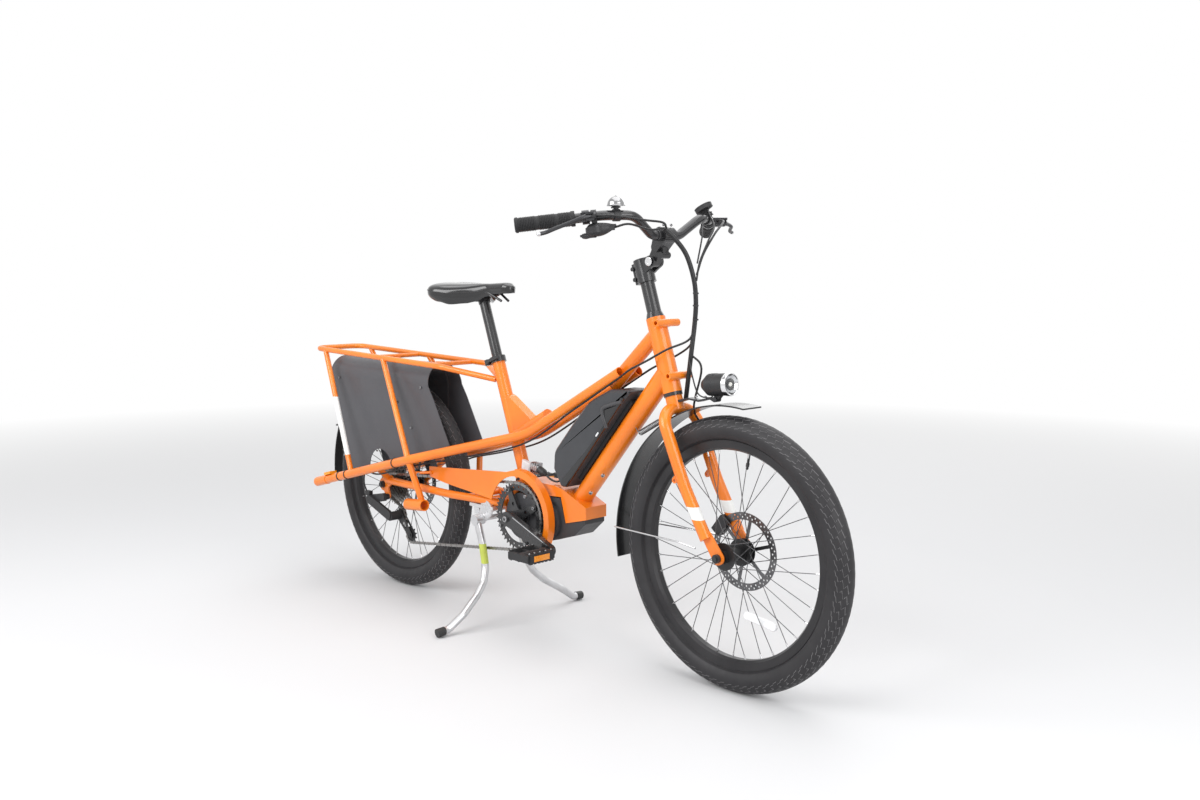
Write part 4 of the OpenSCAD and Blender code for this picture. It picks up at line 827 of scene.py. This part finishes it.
for end, (x, z, turn, low, high) in wheel["reflectors"].items():
    newPiece(end + "SpokeReflector", slab(longOval(*wheel["oval"], x, z, turn), low, high, 1.5),
             "reflectorWhite", end + "_wheel")
print("wheels dressed")

# The saddle, lofted in sections from back to nose under a tight glossy cover.
seat = {
    "nose": 515.0,
    "long": 272.0,
    "half": 103.0,
    "noseHalf": 21.0,
    "top": onSeatTube(648).z * 1000 - bike["wheelR"],
    # share of the length, depth of the skirt there
    "hem": ((0.0, 36), (0.1, 46), (0.24, 54), (0.35, 61), (0.48, 58), (0.57, 53), (0.68, 39), (0.76, 32),
            (1.0, 29)),
    "edge": 32,
    "channel": (3.2, 9.0),
    "round": 40,
    "steps": 56,
    "firm": 0.9,
}


def seatHalf(t):
    w, n = seat["half"], seat["noseHalf"]
    if t < 0.16:
        return w * (0.5 + 0.5 * math.sqrt(max(0, math.sin(math.radians(t / 0.16 * 90)))))
    if t < 0.74:
        return n + (w - n) * (0.5 + 0.5 * math.cos(math.radians((t - 0.16) / 0.58 * 180)))
    return n * math.sqrt(max(0.05, 1 - max(0.0, (t - 0.90) / 0.10) ** 2))


def seatCrown(t):
    # how far the top lies below its highest line: rounded tail, a slight dip, a rounded nose
    tail, dip, nose = max(0, 1 - t / 0.12) ** 2, math.sin(math.pi * t) ** 2, max(0, (t - 0.9) / 0.1) ** 2
    return 9 * tail + 3 * dip + 9 * nose + 1


def seatLow(t):
    hem = seat["hem"]
    for (t0, a), (t1, b) in zip(hem, hem[1:]):
        if t <= t1:
            k = (t - t0) / (t1 - t0)
            return a + (b - a) * k * k * (3 - 2 * k)
    return hem[-1][1]


def seatSection(t):
    # half-ellipse top that turns into a steep skirt, with a soft channel down the middle
    h, c, low = seatHalf(t), seatCrown(t), seatLow(t)
    wide = low * 0.62
    edge = math.radians(seat["edge"])
    deep, broad = seat["channel"]
    ring = []
    for k in range(seat["round"] + 1):
        a = math.radians(-seat["edge"] + (180 + 2 * seat["edge"]) * k / seat["round"])
        y = h * math.copysign(abs(math.cos(a)) ** 0.72, math.cos(a))
        rise = abs(math.sin(a)) ** 0.62
        channel = deep * math.exp(-(y / broad) ** 2) * math.sin(math.pi * min(1, max(0, (t - 0.05) / 0.8)))
        z = -wide + (wide - c) * rise - channel
        if math.sin(a) < 0:
            z = -wide + (low - wide) * math.sin(a) / math.sin(edge)
        ring.append((y, z))
    foot = h * math.cos(edge) ** 0.72
    inner = [(-foot + 4, -low + 1.5), (-foot * 0.6, -low + 12), (foot * 0.6, -low + 12), (foot - 4, -low + 1.5)]
    return ring + inner


def seatPoint(t, y, z):
    return at(seat["nose"] - seat["long"] * (1 - t), y, seat["top"] + z)


def seatShell():
    verts, faces = [], []
    steps = seat["steps"]
    for i in range(steps + 1):
        t = 0.5 - 0.5 * math.cos(math.pi * (i / steps))
        verts += [seatPoint(t, y, z) for y, z in seatSection(t)]
    n = len(seatSection(0.5))
    for i in range(steps):
        for j in range(n):
            k = (j + 1) % n
            faces.append((i * n + j, i * n + k, (i + 1) * n + k, (i + 1) * n + j))
    faces.append(tuple(range(n))[::-1])
    faces.append(tuple(steps * n + j for j in range(n)))
    return verts, faces


def seatSeam(index):
    # follows one point of the section along the saddle
    line = []
    for i in range(41):
        t = 0.04 + 0.92 * i / 40
        y, z = seatSection(t)[index]
        line.append(seatPoint(t, y * 1.004, z))
    return tube(line, 1.1, 6)


cushion = newPiece("saddleCushion", seatShell(), "blackVinyl", "seat", ["saddle"], 50)
newPiece("saddleSeams", joinShapes(seatSeam(6), seatSeam(34)), "blackPlastic", "seat")
print("saddle done")

# The bar's controls, grips and bell: distances along the bar, outlines of what is turned, in millimetres.
bar = {
    "mid": (1057.2, 0.0, 711.3),
    "bends": ((0, 45, 0), (9, 112, 43), (-22, 180, 41), (-152, 322, 19)),
    "bell": 43,
    "levers": 156,
    "gear": 174,
    "display": 44,
    "switch": 174,
}
barPoints = [Vector(bar["mid"]) + Vector(p) for p in bar["bends"]]
tipAlong = (barPoints[3] - barPoints[2]).normalized()


def sideOf(v, side):
    return Vector((v.x, v.y * side, v.z))


def barFrame(s, side, rise=False):
    # origin and axes at s from the bar's tip or up its rise: away from the rider, out, up
    y = (barPoints[2] - barPoints[1]).normalized() if rise else tipAlong
    p = barPoints[1] + y * s if rise else barPoints[3] - tipAlong * s
    x = y.cross(Vector((0, 0, 1))).normalized()
    z = x.cross(y)
    return at(*sideOf(p, side)), [sideOf(v, side) for v in (x, y, z)]


def inFrame(local, x, y, z):
    spot, along = local
    return spot + (along[0] * x + along[1] * y + along[2] * z) / 1000


def beside(local, *points):
    return [inFrame(local, *p) for p in points]


def spots(*points):
    return [at(*p) for p in points]


def gripProfile():
    # ribs in three groups between plain bands, closed at the outer end
    outer = [(16.0, 0.0), (17.2, 1.0), (17.2, 5.5), (16.0, 6.5)]
    h = 9.0
    while h < 118:
        if not (44 < h < 50 or 86 < h < 92):
            outer += [(15.2, h), (16.4, h + 0.8), (16.4, h + 2.2), (15.2, h + 3.0)]
        h += 3.6
    outer += [(16.0, 123), (17.2, 124), (17.2, 131), (16.4, 132.2), (11.3, 132.2)]
    return [(0.3, -1.5), (14.5, -1.5)] + outer + [(11.3, 1.5), (0.3, 1.5)]


def gripShape(side):
    spot, along = barFrame(0, side)
    return lathe(gripProfile(), spot, -along[1], 40)


newPiece("ribbedGrips", joinShapes(gripShape(-1), gripShape(1)), "gripRubber", "stem_and_bar", ["grips"],
         40)

# the bell's steel dome over its clamp
bell = {
    "r": 19.3,
    "up": 22.2,
    "rim": ((19.3, -1.0), (20.4, -1.6), (20.6, -0.4)),
    "knob": ((1.6, 19.6), (1.6, 21.2), (0.2, 21.4), (0.2, 0.0), (17.0, -1.0)),
}
bellFrame = barFrame(bar["bell"], -1, True)
dome = [(bell["r"] * math.cos(math.radians(k * 6)), bell["r"] * math.sin(math.radians(k * 6))) for k in range(1, 15)]
turned("bellDome", [*bell["rim"], *dome, *bell["knob"]], inFrame(bellFrame, 0, 0, bell["up"]), bellFrame[1][2], 48,
       "bellSteel", "stem_and_bar")


def shroud(a, b, low, high):
    # a rounded pod between two points, thicker at the second
    line = [a.lerp(b, k / 10) for k in range(11)]
    swell = [math.sqrt(max(0.12, 1 - (2 * k / 10 - 1) ** 6)) * 0.62 for k in range(11)]
    return tube(line, [(low + (high - low) * k / 10) * swell[k] for k in range(11)], 14)


# brake levers: blades that droop from their pivots, with round bright tips; name: side, droop, reach
levers = {"right": (-1, 26, 46), "left": (1, 9, 58)}
leverTip = ((0.2, -5.2), (3.8, -3.8), (5.4, 0), (3.8, 3.8), (0.2, 5.2))
leverFrames = {name: barFrame(bar["levers"], lever[0]) for name, lever in levers.items()}
for name, (side, droop, reach) in levers.items():
    local, body = leverFrames[name], name + "_brake_lever"
    line = smoothLine(beside(local, (38, -8, 0), (45, 12, -droop * 0.1), (reach, 40, -droop * 0.4),
                             (reach, 70, -droop * 0.7), (reach, 90, -droop * 0.92), (reach + 5, 104, -droop)))
    radii = [6.5 - 2.0 * min(1, k / 12) for k in range(len(line))]
    newPiece(name + "LeverBlade", tube(line, radii, 12), "darkAlloy", body, ["brake_lever_" + name])
    turned(name + "LeverTip", leverTip, inFrame(local, reach + 6, 106, -droop), local[1][2], 20, "brightEdge", body)
    newPiece(name + "LeverShroud", shroud(*beside(local, (24, -22, 1), (40, 6, -3)), 11, 15), "blackPlastic",
             "stem_and_bar")

# the gear lever's pad and the pod it turns on
gear = {
    "pad": ((18, 2, -40), (8, 16, -41), (-6, 31, -40)),
    "padRadii": (7, 6.6, 6.2, 5.8, 5.6, 5.6, 5.8, 6.2, 6.6, 6.6, 6.2, 5.4, 3.0),
    "pod": ((14, -46, -26), (16, -30, -28), (18, -8, -30), (18, 12, -29), (18, 22, -28)),
    "podRadii": (4.5, 4.8, 5.4, 6.2, 7.2, 8.4, 9.6, 10.8, 12, 13, 13.8, 14.4, 14.8, 15, 15, 14.8, 14.4, 13.8, 13,
                 12, 10.6, 9, 7, 5, 2.5),
    "cap": ((0.3, 1.5), (17, 1.5), (17, -3), (16, -1.2), (14, 0), (0.3, 0)),
    "capAt": (18, 2, -23.5),
}
gearFrame = barFrame(bar["gear"], -1)
newPiece("gearLeverPad", tube(smoothLine(beside(gearFrame, *gear["pad"]), 6), gear["padRadii"], 12),
         "blackPlastic", "gear_lever")
newPiece("gearPod", tube(smoothLine(beside(gearFrame, *gear["pod"]), 6), gear["podRadii"], 20), "blackPlastic",
         "stem_and_bar")
turned("gearPodCap", gear["cap"], inFrame(gearFrame, *gear["capAt"]), gearFrame[1][2], 32, "darkAlloy", "stem_and_bar")

# display: dark face in a thin ring; keys beside the left grip
display = {
    "lean": 30,
    "at": (-2, 0, 22),
    "up": 0.009,
    "face": ((0.3, -0.3), (19.0, -0.3), (19.0, 0.9), (17.5, 1.3), (0.3, 1.3)),
    "ring": ((19.3, -0.6), (22.4, -0.6), (22.4, 1.2), (20.8, 2.2), (19.3, 1.6)),
    "keys": ((-12, -3.5, 23), (-12, 3.5, 23), (0, 0, 23)),
    "key": ((0.2, -0.5), (2.8, -0.5), (2.8, 0.8), (2.2, 1.3), (0.2, 1.3)),
}
faceFrame = barFrame(bar["display"], 1, True)
lean = math.radians(display["lean"])
faceUp = (faceFrame[1][2] * math.cos(lean) - faceFrame[1][0] * math.sin(lean)).normalized()
faceAt = inFrame(faceFrame, *display["at"]) + faceUp * display["up"]
turned("displayFace", display["face"], faceAt, faceUp, 40, "screen", "stem_and_bar")
turned("displayRing", display["ring"], faceAt, faceUp, 40, "blackPlastic", "stem_and_bar")
switchFrame = barFrame(bar["switch"], 1)
for k, spot in enumerate(beside(switchFrame, *display["keys"])):
    turned("switchKey%d" % (k + 1), display["key"], spot, switchFrame[1][2], 16, "keyGrey", "stem_and_bar")
print("bar controls done")

# Headlamp: chrome ring, bowl and clear lens; name: finish, steps, outline.
lamp = {"tilt": 85.0, "at": (1225.0, 0.0, 379.0), "fins": (-22, -16, -10)}
lampParts = {
    "lampRing": ("chrome", 56, ((22.2, 24), (22.2, 32.5), (23.4, 34), (25.4, 34), (26.2, 32), (26.2, 23),
                                (25.2, 22), (25.2, 24))),
    "lampBowl": ("chrome", 48, ((4.0, 27.2), (9, 27.6), (16, 29.2), (21.6, 31.6), (21.8, 32.0), (21.8, 27.0),
                                (4.0, 26.9))),
    "lampBulb": ("bulb", 20, ((0.2, 26.9), (4.4, 26.9), (4.4, 29.0), (3.2, 30.4), (0.2, 31))),
    "lampLens": ("clearLens", 56, ((0.2, 31.5), (21.9, 31.5), (21.9, 33.2), (15, 34.9), (7, 35.7), (0.2, 36))),
}
tilt = math.radians(lamp["tilt"])
lampAxis, lampAt = Vector((math.sin(tilt), 0, math.cos(tilt))), at(*lamp["at"])
for name, (finish, steps, profile) in lampParts.items():
    turned(name, profile, lampAt, lampAxis, steps, finish, "lamp")
fins = [lathe([(24.9, h), (25.6, h + 0.6), (25.6, h + 2.4), (24.9, h + 3)], lampAt, lampAxis, 48)
        for h in lamp["fins"]]
newPiece("lampFins", joinShapes(*fins), "blackPlastic", "lamp")

# The battery's case with its bevels, glossy band, handles, painted shade in the handle recesses and plain light marks.
pack = {
    "side": ((716, 131), (743, 88), (765, 89.5), (971, 332), (986, 346), (980, 350), (920, 348), (862, 321),
             (842, 309), (784, 250), (719, 176)),
    "corners": (12, 10, 8, 8, 8, 8, 30, 30, 30, 60, 30),
    "half": 44.7,
    "bevel": 7,
    "band": ((749, 108), (748, 91), (766, 91), (969, 331), (958, 333), (905, 264), (833, 187)),
    "bandCorners": (3, 3, 3, 4, 4, 12, 12),
    "bandOut": 1.2,
    # along, out from the case's side, up
    "handle": ((909, 0, 255), (905, 3, 268), (899, 4.5, 288), (903, 4.5, 303), (930, 4, 313), (962, 2, 322)),
    "handleR": 5.0,
    # outline beside each handle for a dark patch: painted shade of the recess behind the handle
    "pocket": ((906, 262), (898, 296), (944, 312), (958, 322)),
    "pocketCorners": (4, 6, 6, 4),
    "mark": (7, 2.2, 880, 236, 49),
    "markY": (46.2, 46.6),
}


def roundCorners(ring, radii, steps=5):
    # each corner of an outline becomes an arc
    out = []
    n = len(ring)
    for i in range(n):
        a, b, c = (Vector(ring[(i + s) % n]) for s in (-1, 0, 1))
        u, v = (a - b).normalized(), (c - b).normalized()
        half = math.acos(max(-1, min(1, u.dot(v)))) / 2
        cut = min(radii[i] / math.tan(half), (a - b).length * 0.45, (c - b).length * 0.45)
        r = cut * math.tan(half)
        centre = b + (u + v).normalized() * (r / math.sin(half))
        p, q = b + u * cut, b + v * cut
        start = math.atan2(p.y - centre.y, p.x - centre.x)
        sweep = (math.atan2(q.y - centre.y, q.x - centre.x) - start + math.pi) % (2 * math.pi) - math.pi
        for k in range(steps + 1):
            t = start + sweep * k / steps
            out.append((centre.x + r * math.cos(t), centre.y + r * math.sin(t)))
    return out


caseRing = roundCorners(pack["side"], pack["corners"])
newPiece("batteryShell", slab(caseRing, -pack["half"], pack["half"], pack["bevel"]), "batteryPlastic", "battery",
         ["battery_case"], 40)
# glossy darker band along the tube, a hair proud of the shell's sides
bandHalf = pack["half"] + pack["bandOut"]
newPiece("batteryBand", slab(roundCorners(pack["band"], pack["bandCorners"]), -bandHalf, bandHalf, 2), "glossBlack",
         "battery")
# a glossy black patch on each side, a little proud of the shell, is painted shade standing in for the handle's recess
pocket = roundCorners(pack["pocket"], pack["pocketCorners"])
for side, name in sideName.items():
    y = side * (pack["half"] - 3)
    grip = smoothLine([at(x, y + side * out, z) for x, out, z in pack["handle"]])
    newPiece(name + "BatteryHandle", tube(grip, pack["handleR"], 12), "handleGrey", "battery")
    # painted shade: dark glossy patch where the recess behind the handle is
    newPiece(name + "BatteryPocket", slab(pocket, *onSide(side, pack["half"] - 2, pack["half"] + 1.6), 1),
             "glossBlack", "battery")
    newPiece(name + "BatteryMark", slab(longOval(*pack["mark"]), *onSide(side, *pack["markY"])), "markWhite",
             "battery")
print("lamp and battery done")

# Hoses: the thick sheath before the head tube, thin hoses from the levers, lines to the rails and the caliper.
hoseRuns = {
    "sheath": ((1082, -30, 726), (1100, -10, 700), (1120, 4, 665), (1132, 16, 610), (1134, 21, 560),
               (1130, 22, 510), (1129, 15, 460), (1125, 13, 420)),
    "rightBrake": ((1104, -118, 742), (1110, -66, 738), (1092, -34, 727)),
    "gear": ((1098, -96, 722), (1102, -56, 726), (1086, -33, 724)),
    "leftBrake": ((1118, 104, 716), (1130, 50, 668), (1135, 22, 622)),
    "display": ((1104, 118, 735), (1124, 74, 700), (1133, 34, 650), (1136, 20, 608)),
    "switch": ((1062, 150, 764), (1082, 104, 742), (1112, 66, 708), (1131, 28, 648)),
    "lamp": ((1128, 6, 430), (1140, 4, 392), (1160, 3, 352), (1196, 3, 347), (1204, 2, 362), (1196, 2, 378)),
    "rail": ((213, 108, 86), (400, 66, 128), (600, 33, 184), (780, 35, 284), (953, 37, 382)),
    "railRight": ((-52, -94, -34), (-62, -100, 0), (-30, -112, 38), (60, -124, 44)),
    "railLeft": ((96, 76, 62), (150, 110, 68)),
    "head": ((953, 37, 382), (985, 40, 400), (1040, 41, 424), (1096, 36, 452)),
}
onFork, onBar = ("frame", "fork_unit"), ("fork_unit", "stem_and_bar")
forkToFrame = (*onFork, onSteer(366, 30), onSteer(520, 30))
forkToBar = (*onBar, onSteer(640, 30), onSteer(700, 60))


def hose(name, points, r, body, stands=(), steps=8):
    newPiece(name, tube(smoothLine(points, steps), r, 10), "hose", body, stands, sharp=60)


def run(name, side=1):
    return [at(x, side * y, z) for x, y, z in hoseRuns[name]]


hose("thickSheath", run("sheath") + [onSteer(346, 16.6, 20)], 5.6, (*onBar, onSteer(690, 60), onSteer(725, 60)),
     ["steering_cables"])
hose("rightBrakeHose", beside(leverFrames["right"], (21, -22, 0), (30, -60, -4)) + run("rightBrake"), 2.6,
     "stem_and_bar")
hose("gearHousing", beside(gearFrame, (18, -42, -29), (30, -74, -26)) + run("gear"), 2.5, "stem_and_bar")
hose("leftBrakeHose", beside(leverFrames["left"], (21, -22, 0), (34, -64, -8)) + run("leftBrake"), 2.6, forkToBar)
hose("displayLine", beside(faceFrame, (4, 0, 20)) + run("display"), 2.2, forkToBar)
hose("switchLine", beside(switchFrame, (2, -8, 16), (8, -46, 10)) + run("switch"), 1.9, forkToBar)
forkRun = [onSteer(322, 26, 30), onSteer(270, 28, 50), onSteer(200, 20, 72), onSteer(150, 6, 74)]
hose("frontBrakeLine", spots((1127, 15, 440), (1150, 24, 408)) + forkRun + spots((1202, 58, 74), (1196, 46, 58)),
     2.5, "fork_unit")
hose("lampLine", run("lamp"), 1.7, "fork_unit")
for side, name in sideName.items():
    hose(name + "HeadLine", run("head", side) + spots((1126, 15 + side * 5, 476), (1132, 21 + side * 3, 520)), 2.5,
         forkToFrame)
    hose(name + "RailLine", run("rail" + name.title()) + run("rail", side), 2.5, "frame",
         ["frame_cables"] if side < 0 else (), steps=12)
tieProfile = ((5.7, -1.8), (6.8, -1.8), (6.8, 1.8), (5.7, 1.8))
ties = [lathe(tieProfile, at(1134, 20.5, z), (0, 0.02, 1), 24) for z in (580, 552, 520)]
newPiece("sheathTies", joinShapes(*ties), "blackPlastic", "fork_unit")

# The steering spring: a close coil with a bright hook and its long lead to the crown.
coil = {
    "from": (991, -12, 247),
    "along": (65, 0, 35),
    "mean": 6.2,
    "wire": 1.05,
    "long": 74.0,
    "turns": 17,
    "lead": 40.0,
    "hook": ((977, -12, 258.9), (984, -12, 250.5)),
}
coilAlong = Vector(coil["along"]).normalized()


def coilPoint(h, r=0, a=0):
    x, y, _ = frameOn(coilAlong)
    return at(*(Vector(coil["from"]) + coilAlong * h + x * (r * math.cos(a)) + y * (r * math.sin(a))))


coilLine = spots(*coil["hook"]) + [coilPoint(-3, 2)]
for k in range(coil["turns"] * 12 + 1):
    coilLine.append(coilPoint(k / 12 * coil["long"] / coil["turns"], coil["mean"], k * math.pi / 6))
coilLine += [coilPoint(coil["long"] + 3, 1.5), coilPoint(coil["long"] + coil["lead"])]
newPiece("steeringCoil", tube(coilLine, coil["wire"], 6), "coilSteel",
         (*onFork, coilPoint(4), coilPoint(coil["long"] + 20)), ["steering_spring"], sharp=60)
print("hoses and spring done")

# Drive: bolts of the ring, bright line on the crank arms, reflectors and pins on the pedals.
crank = {
    "at": bike["crank"],
    "long": 170.0,
    "rest": 19.5,
    "ringTurn": 26,
    "ringR": 74,
    "ringY": 60.8,
    "endY": 96.2,
    "lineY": (96.7, 97.5),
    "pedalY": (128, 178),
    "plateX": 40.2,
    "pins": (118, 136, 154, 172, 188),
    "pinX": 34,
    "pinZ": 12.8,
    "rotor": (0.022, 0.0345),
}
midX, midZ = crank["at"]
ringBolts = []
for k in range(4):
    a = math.radians(crank["ringTurn"] + 90 * k)
    spot = at(midX + crank["ringR"] * math.cos(a), -crank["ringY"], midZ + crank["ringR"] * math.sin(a))
    ringBolts.append((spot, (0, -1, 0), 4.6))
ringBolts += [(at(midX, s * crank["endY"], midZ), (0, s, 0), 8.0) for s in (-1, 1)]
boltSet("crankBolts", ringBolts, "boltSteel", "crank")
rest = math.radians(crank["rest"])
for side, name in reversed(sideName.items()):
    # the left arm points back, the right one forward
    start = Vector(crank["at"])
    end = Vector((midX - side * crank["long"] * math.cos(rest), midZ + side * crank["long"] * math.sin(rest)))
    u = (end - start).normalized()
    n = Vector((-u.y, u.x)) * (1 if u.x > 0 else -1)
    a, b = start + u * 20 + n * 15.5, end - u * 6 + n * 11.6
    strip = [tuple(a), tuple(b), tuple(b - n * 2.2), tuple(a - n * 2.2)]
    newPiece(name + "ArmLine", slab(strip, *onSide(side, *crank["lineY"])), "brightEdge", "crank")
    plates, pins = [], []
    for fore in (-1, 1):
        x0 = end.x + fore * crank["plateX"]
        ring = [(x0 - 1.2, end.y - 7), (x0 + 1.2, end.y - 7), (x0 + 1.2, end.y + 7), (x0 - 1.2, end.y + 7)]
        plates.append(slab(ring, *onSide(side, *crank["pedalY"]), 0.5))
    newPiece(name + "PedalReflectors", joinShapes(*plates), "amber", name + "_pedal")
    for top in (-1, 1):
        for fore in (-1, 1):
            for y in crank["pins"]:
                spot = at(end.x + fore * crank["pinX"], side * y, end.y + top * crank["pinZ"])
                pins.append((spot, (0, 0, top), 2.0))
    boltSet(name + "PedalPins", pins, "brightEdge", name + "_pedal")
rotorR, rotorY = crank["rotor"]
rotorBolts = [(hubs["front"] + Vector((rotorR * math.cos(k * math.pi / 3), rotorY, rotorR * math.sin(k * math.pi / 3))),
               (0, -1, 0), 2.6) for k in range(6)]
boltSet("frontRotorBolts", rotorBolts, "boltSteel", "front_wheel")

# Bolts that show on the frame, skirts, stem and fork: point, facing, head radius.
frameBolts = [(at(878, -23.2, 133), (0.4, -1, -0.5), 4.6), (at(835, -23.2, 84), (0.4, -1, -0.5), 4.6),
              (at(240, -115.5, 66), (0, -1, 0), 4.2), (at(562, -69, 60), (0, -1, 0), 4.4),
              (at(640, -69, 52), (0, -1, 0), 4.4)]
skirtBolts = ((-270, 150), (-230, 60), (-160, 26), (130, 180), (20, 300), (-250, 300), (60, 250), (180, 300))
for x, z in skirtBolts:
    y = 58.1 if x < 40 else 60.6
    frameBolts += [(at(x, s * y, z), (0, s, 0), 3.4) for s in (-1, 1)]
boltSet("frameBolts", frameBolts, "boltSteel", "frame")
stemBolts = [(onSteer(732 + w * 0.766, 98, s * 13), (1, 0, 0.6), 3.2) for s in (-1, 1) for w in (-11, 11)]
boltSet("stemBolts", stemBolts, "boltSteel", "stem_and_bar")
hinge = ((0.3, 0), (10.5, 0), (10.5, 1.4), (9.4, 2.4), (4.4, 2.4), (4.2, 1.2), (0.3, 1.2))
turned("hingePlug", hinge, onSteer(674, 36, -19.9), (0, -1, 0), 32, "chrome", "fork_unit")
boltSet("lampBolts", [(p, (0, 0, 1), 3.0) for p in spots((1160, -4, 345.6), (1180, 4, 346.5))], "boltSteel",
        "fork_unit")

# Plug and wires above the motor, by the foot of the seat tube.
plug = {
    "block": [(572, 106), (604, 100), (608, 128), (576, 136)],
    "cap": [(608, 116), (640, 108), (642, 126), (612, 134)],
    "rib": ((614, 107), (617, 106), (619, 133), (616, 134)),
    "body": ((0.3, 0), (9, 0), (10, 1), (10, 20), (8, 24), (4, 30), (0.3, 30)),
    "leads": ((604, -18), (612, -22), (618, -26)),
    "packLead": ((664, -22, 107), (684, -20, 96), (700, -14, 92), (718, -8, 100)),
}
newPiece("plugBlock", slab(plug["block"], -27, -12, 2.5), "markWhite", "frame")
newPiece("plugCap", slab(plug["cap"], -30, -10, 3), "silverPaint", "frame")
plugRibs = [slab([(x + k * 7, z) for x, z in plug["rib"]], -31, -9, 0.6) for k in range(4)]
newPiece("plugRibs", joinShapes(*plugRibs), "boltSteel", "frame")
turned("plugBody", plug["body"], at(640, -22, 118), (0.9, 0, -0.4), 24, "blackPlastic", "frame")
for k, (x, y) in enumerate(plug["leads"]):
    hose("motorLead%d" % (k + 1), spots((x, y, 104), (x + 4, y - 2, 86), (x + 2, y + 2, 68), (x - 4, y + 6, 52)),
         2.0, "frame")
hose("packLead", spots(*plug["packLead"]), 2.6, "frame")
print("drive, bolts and leads done")
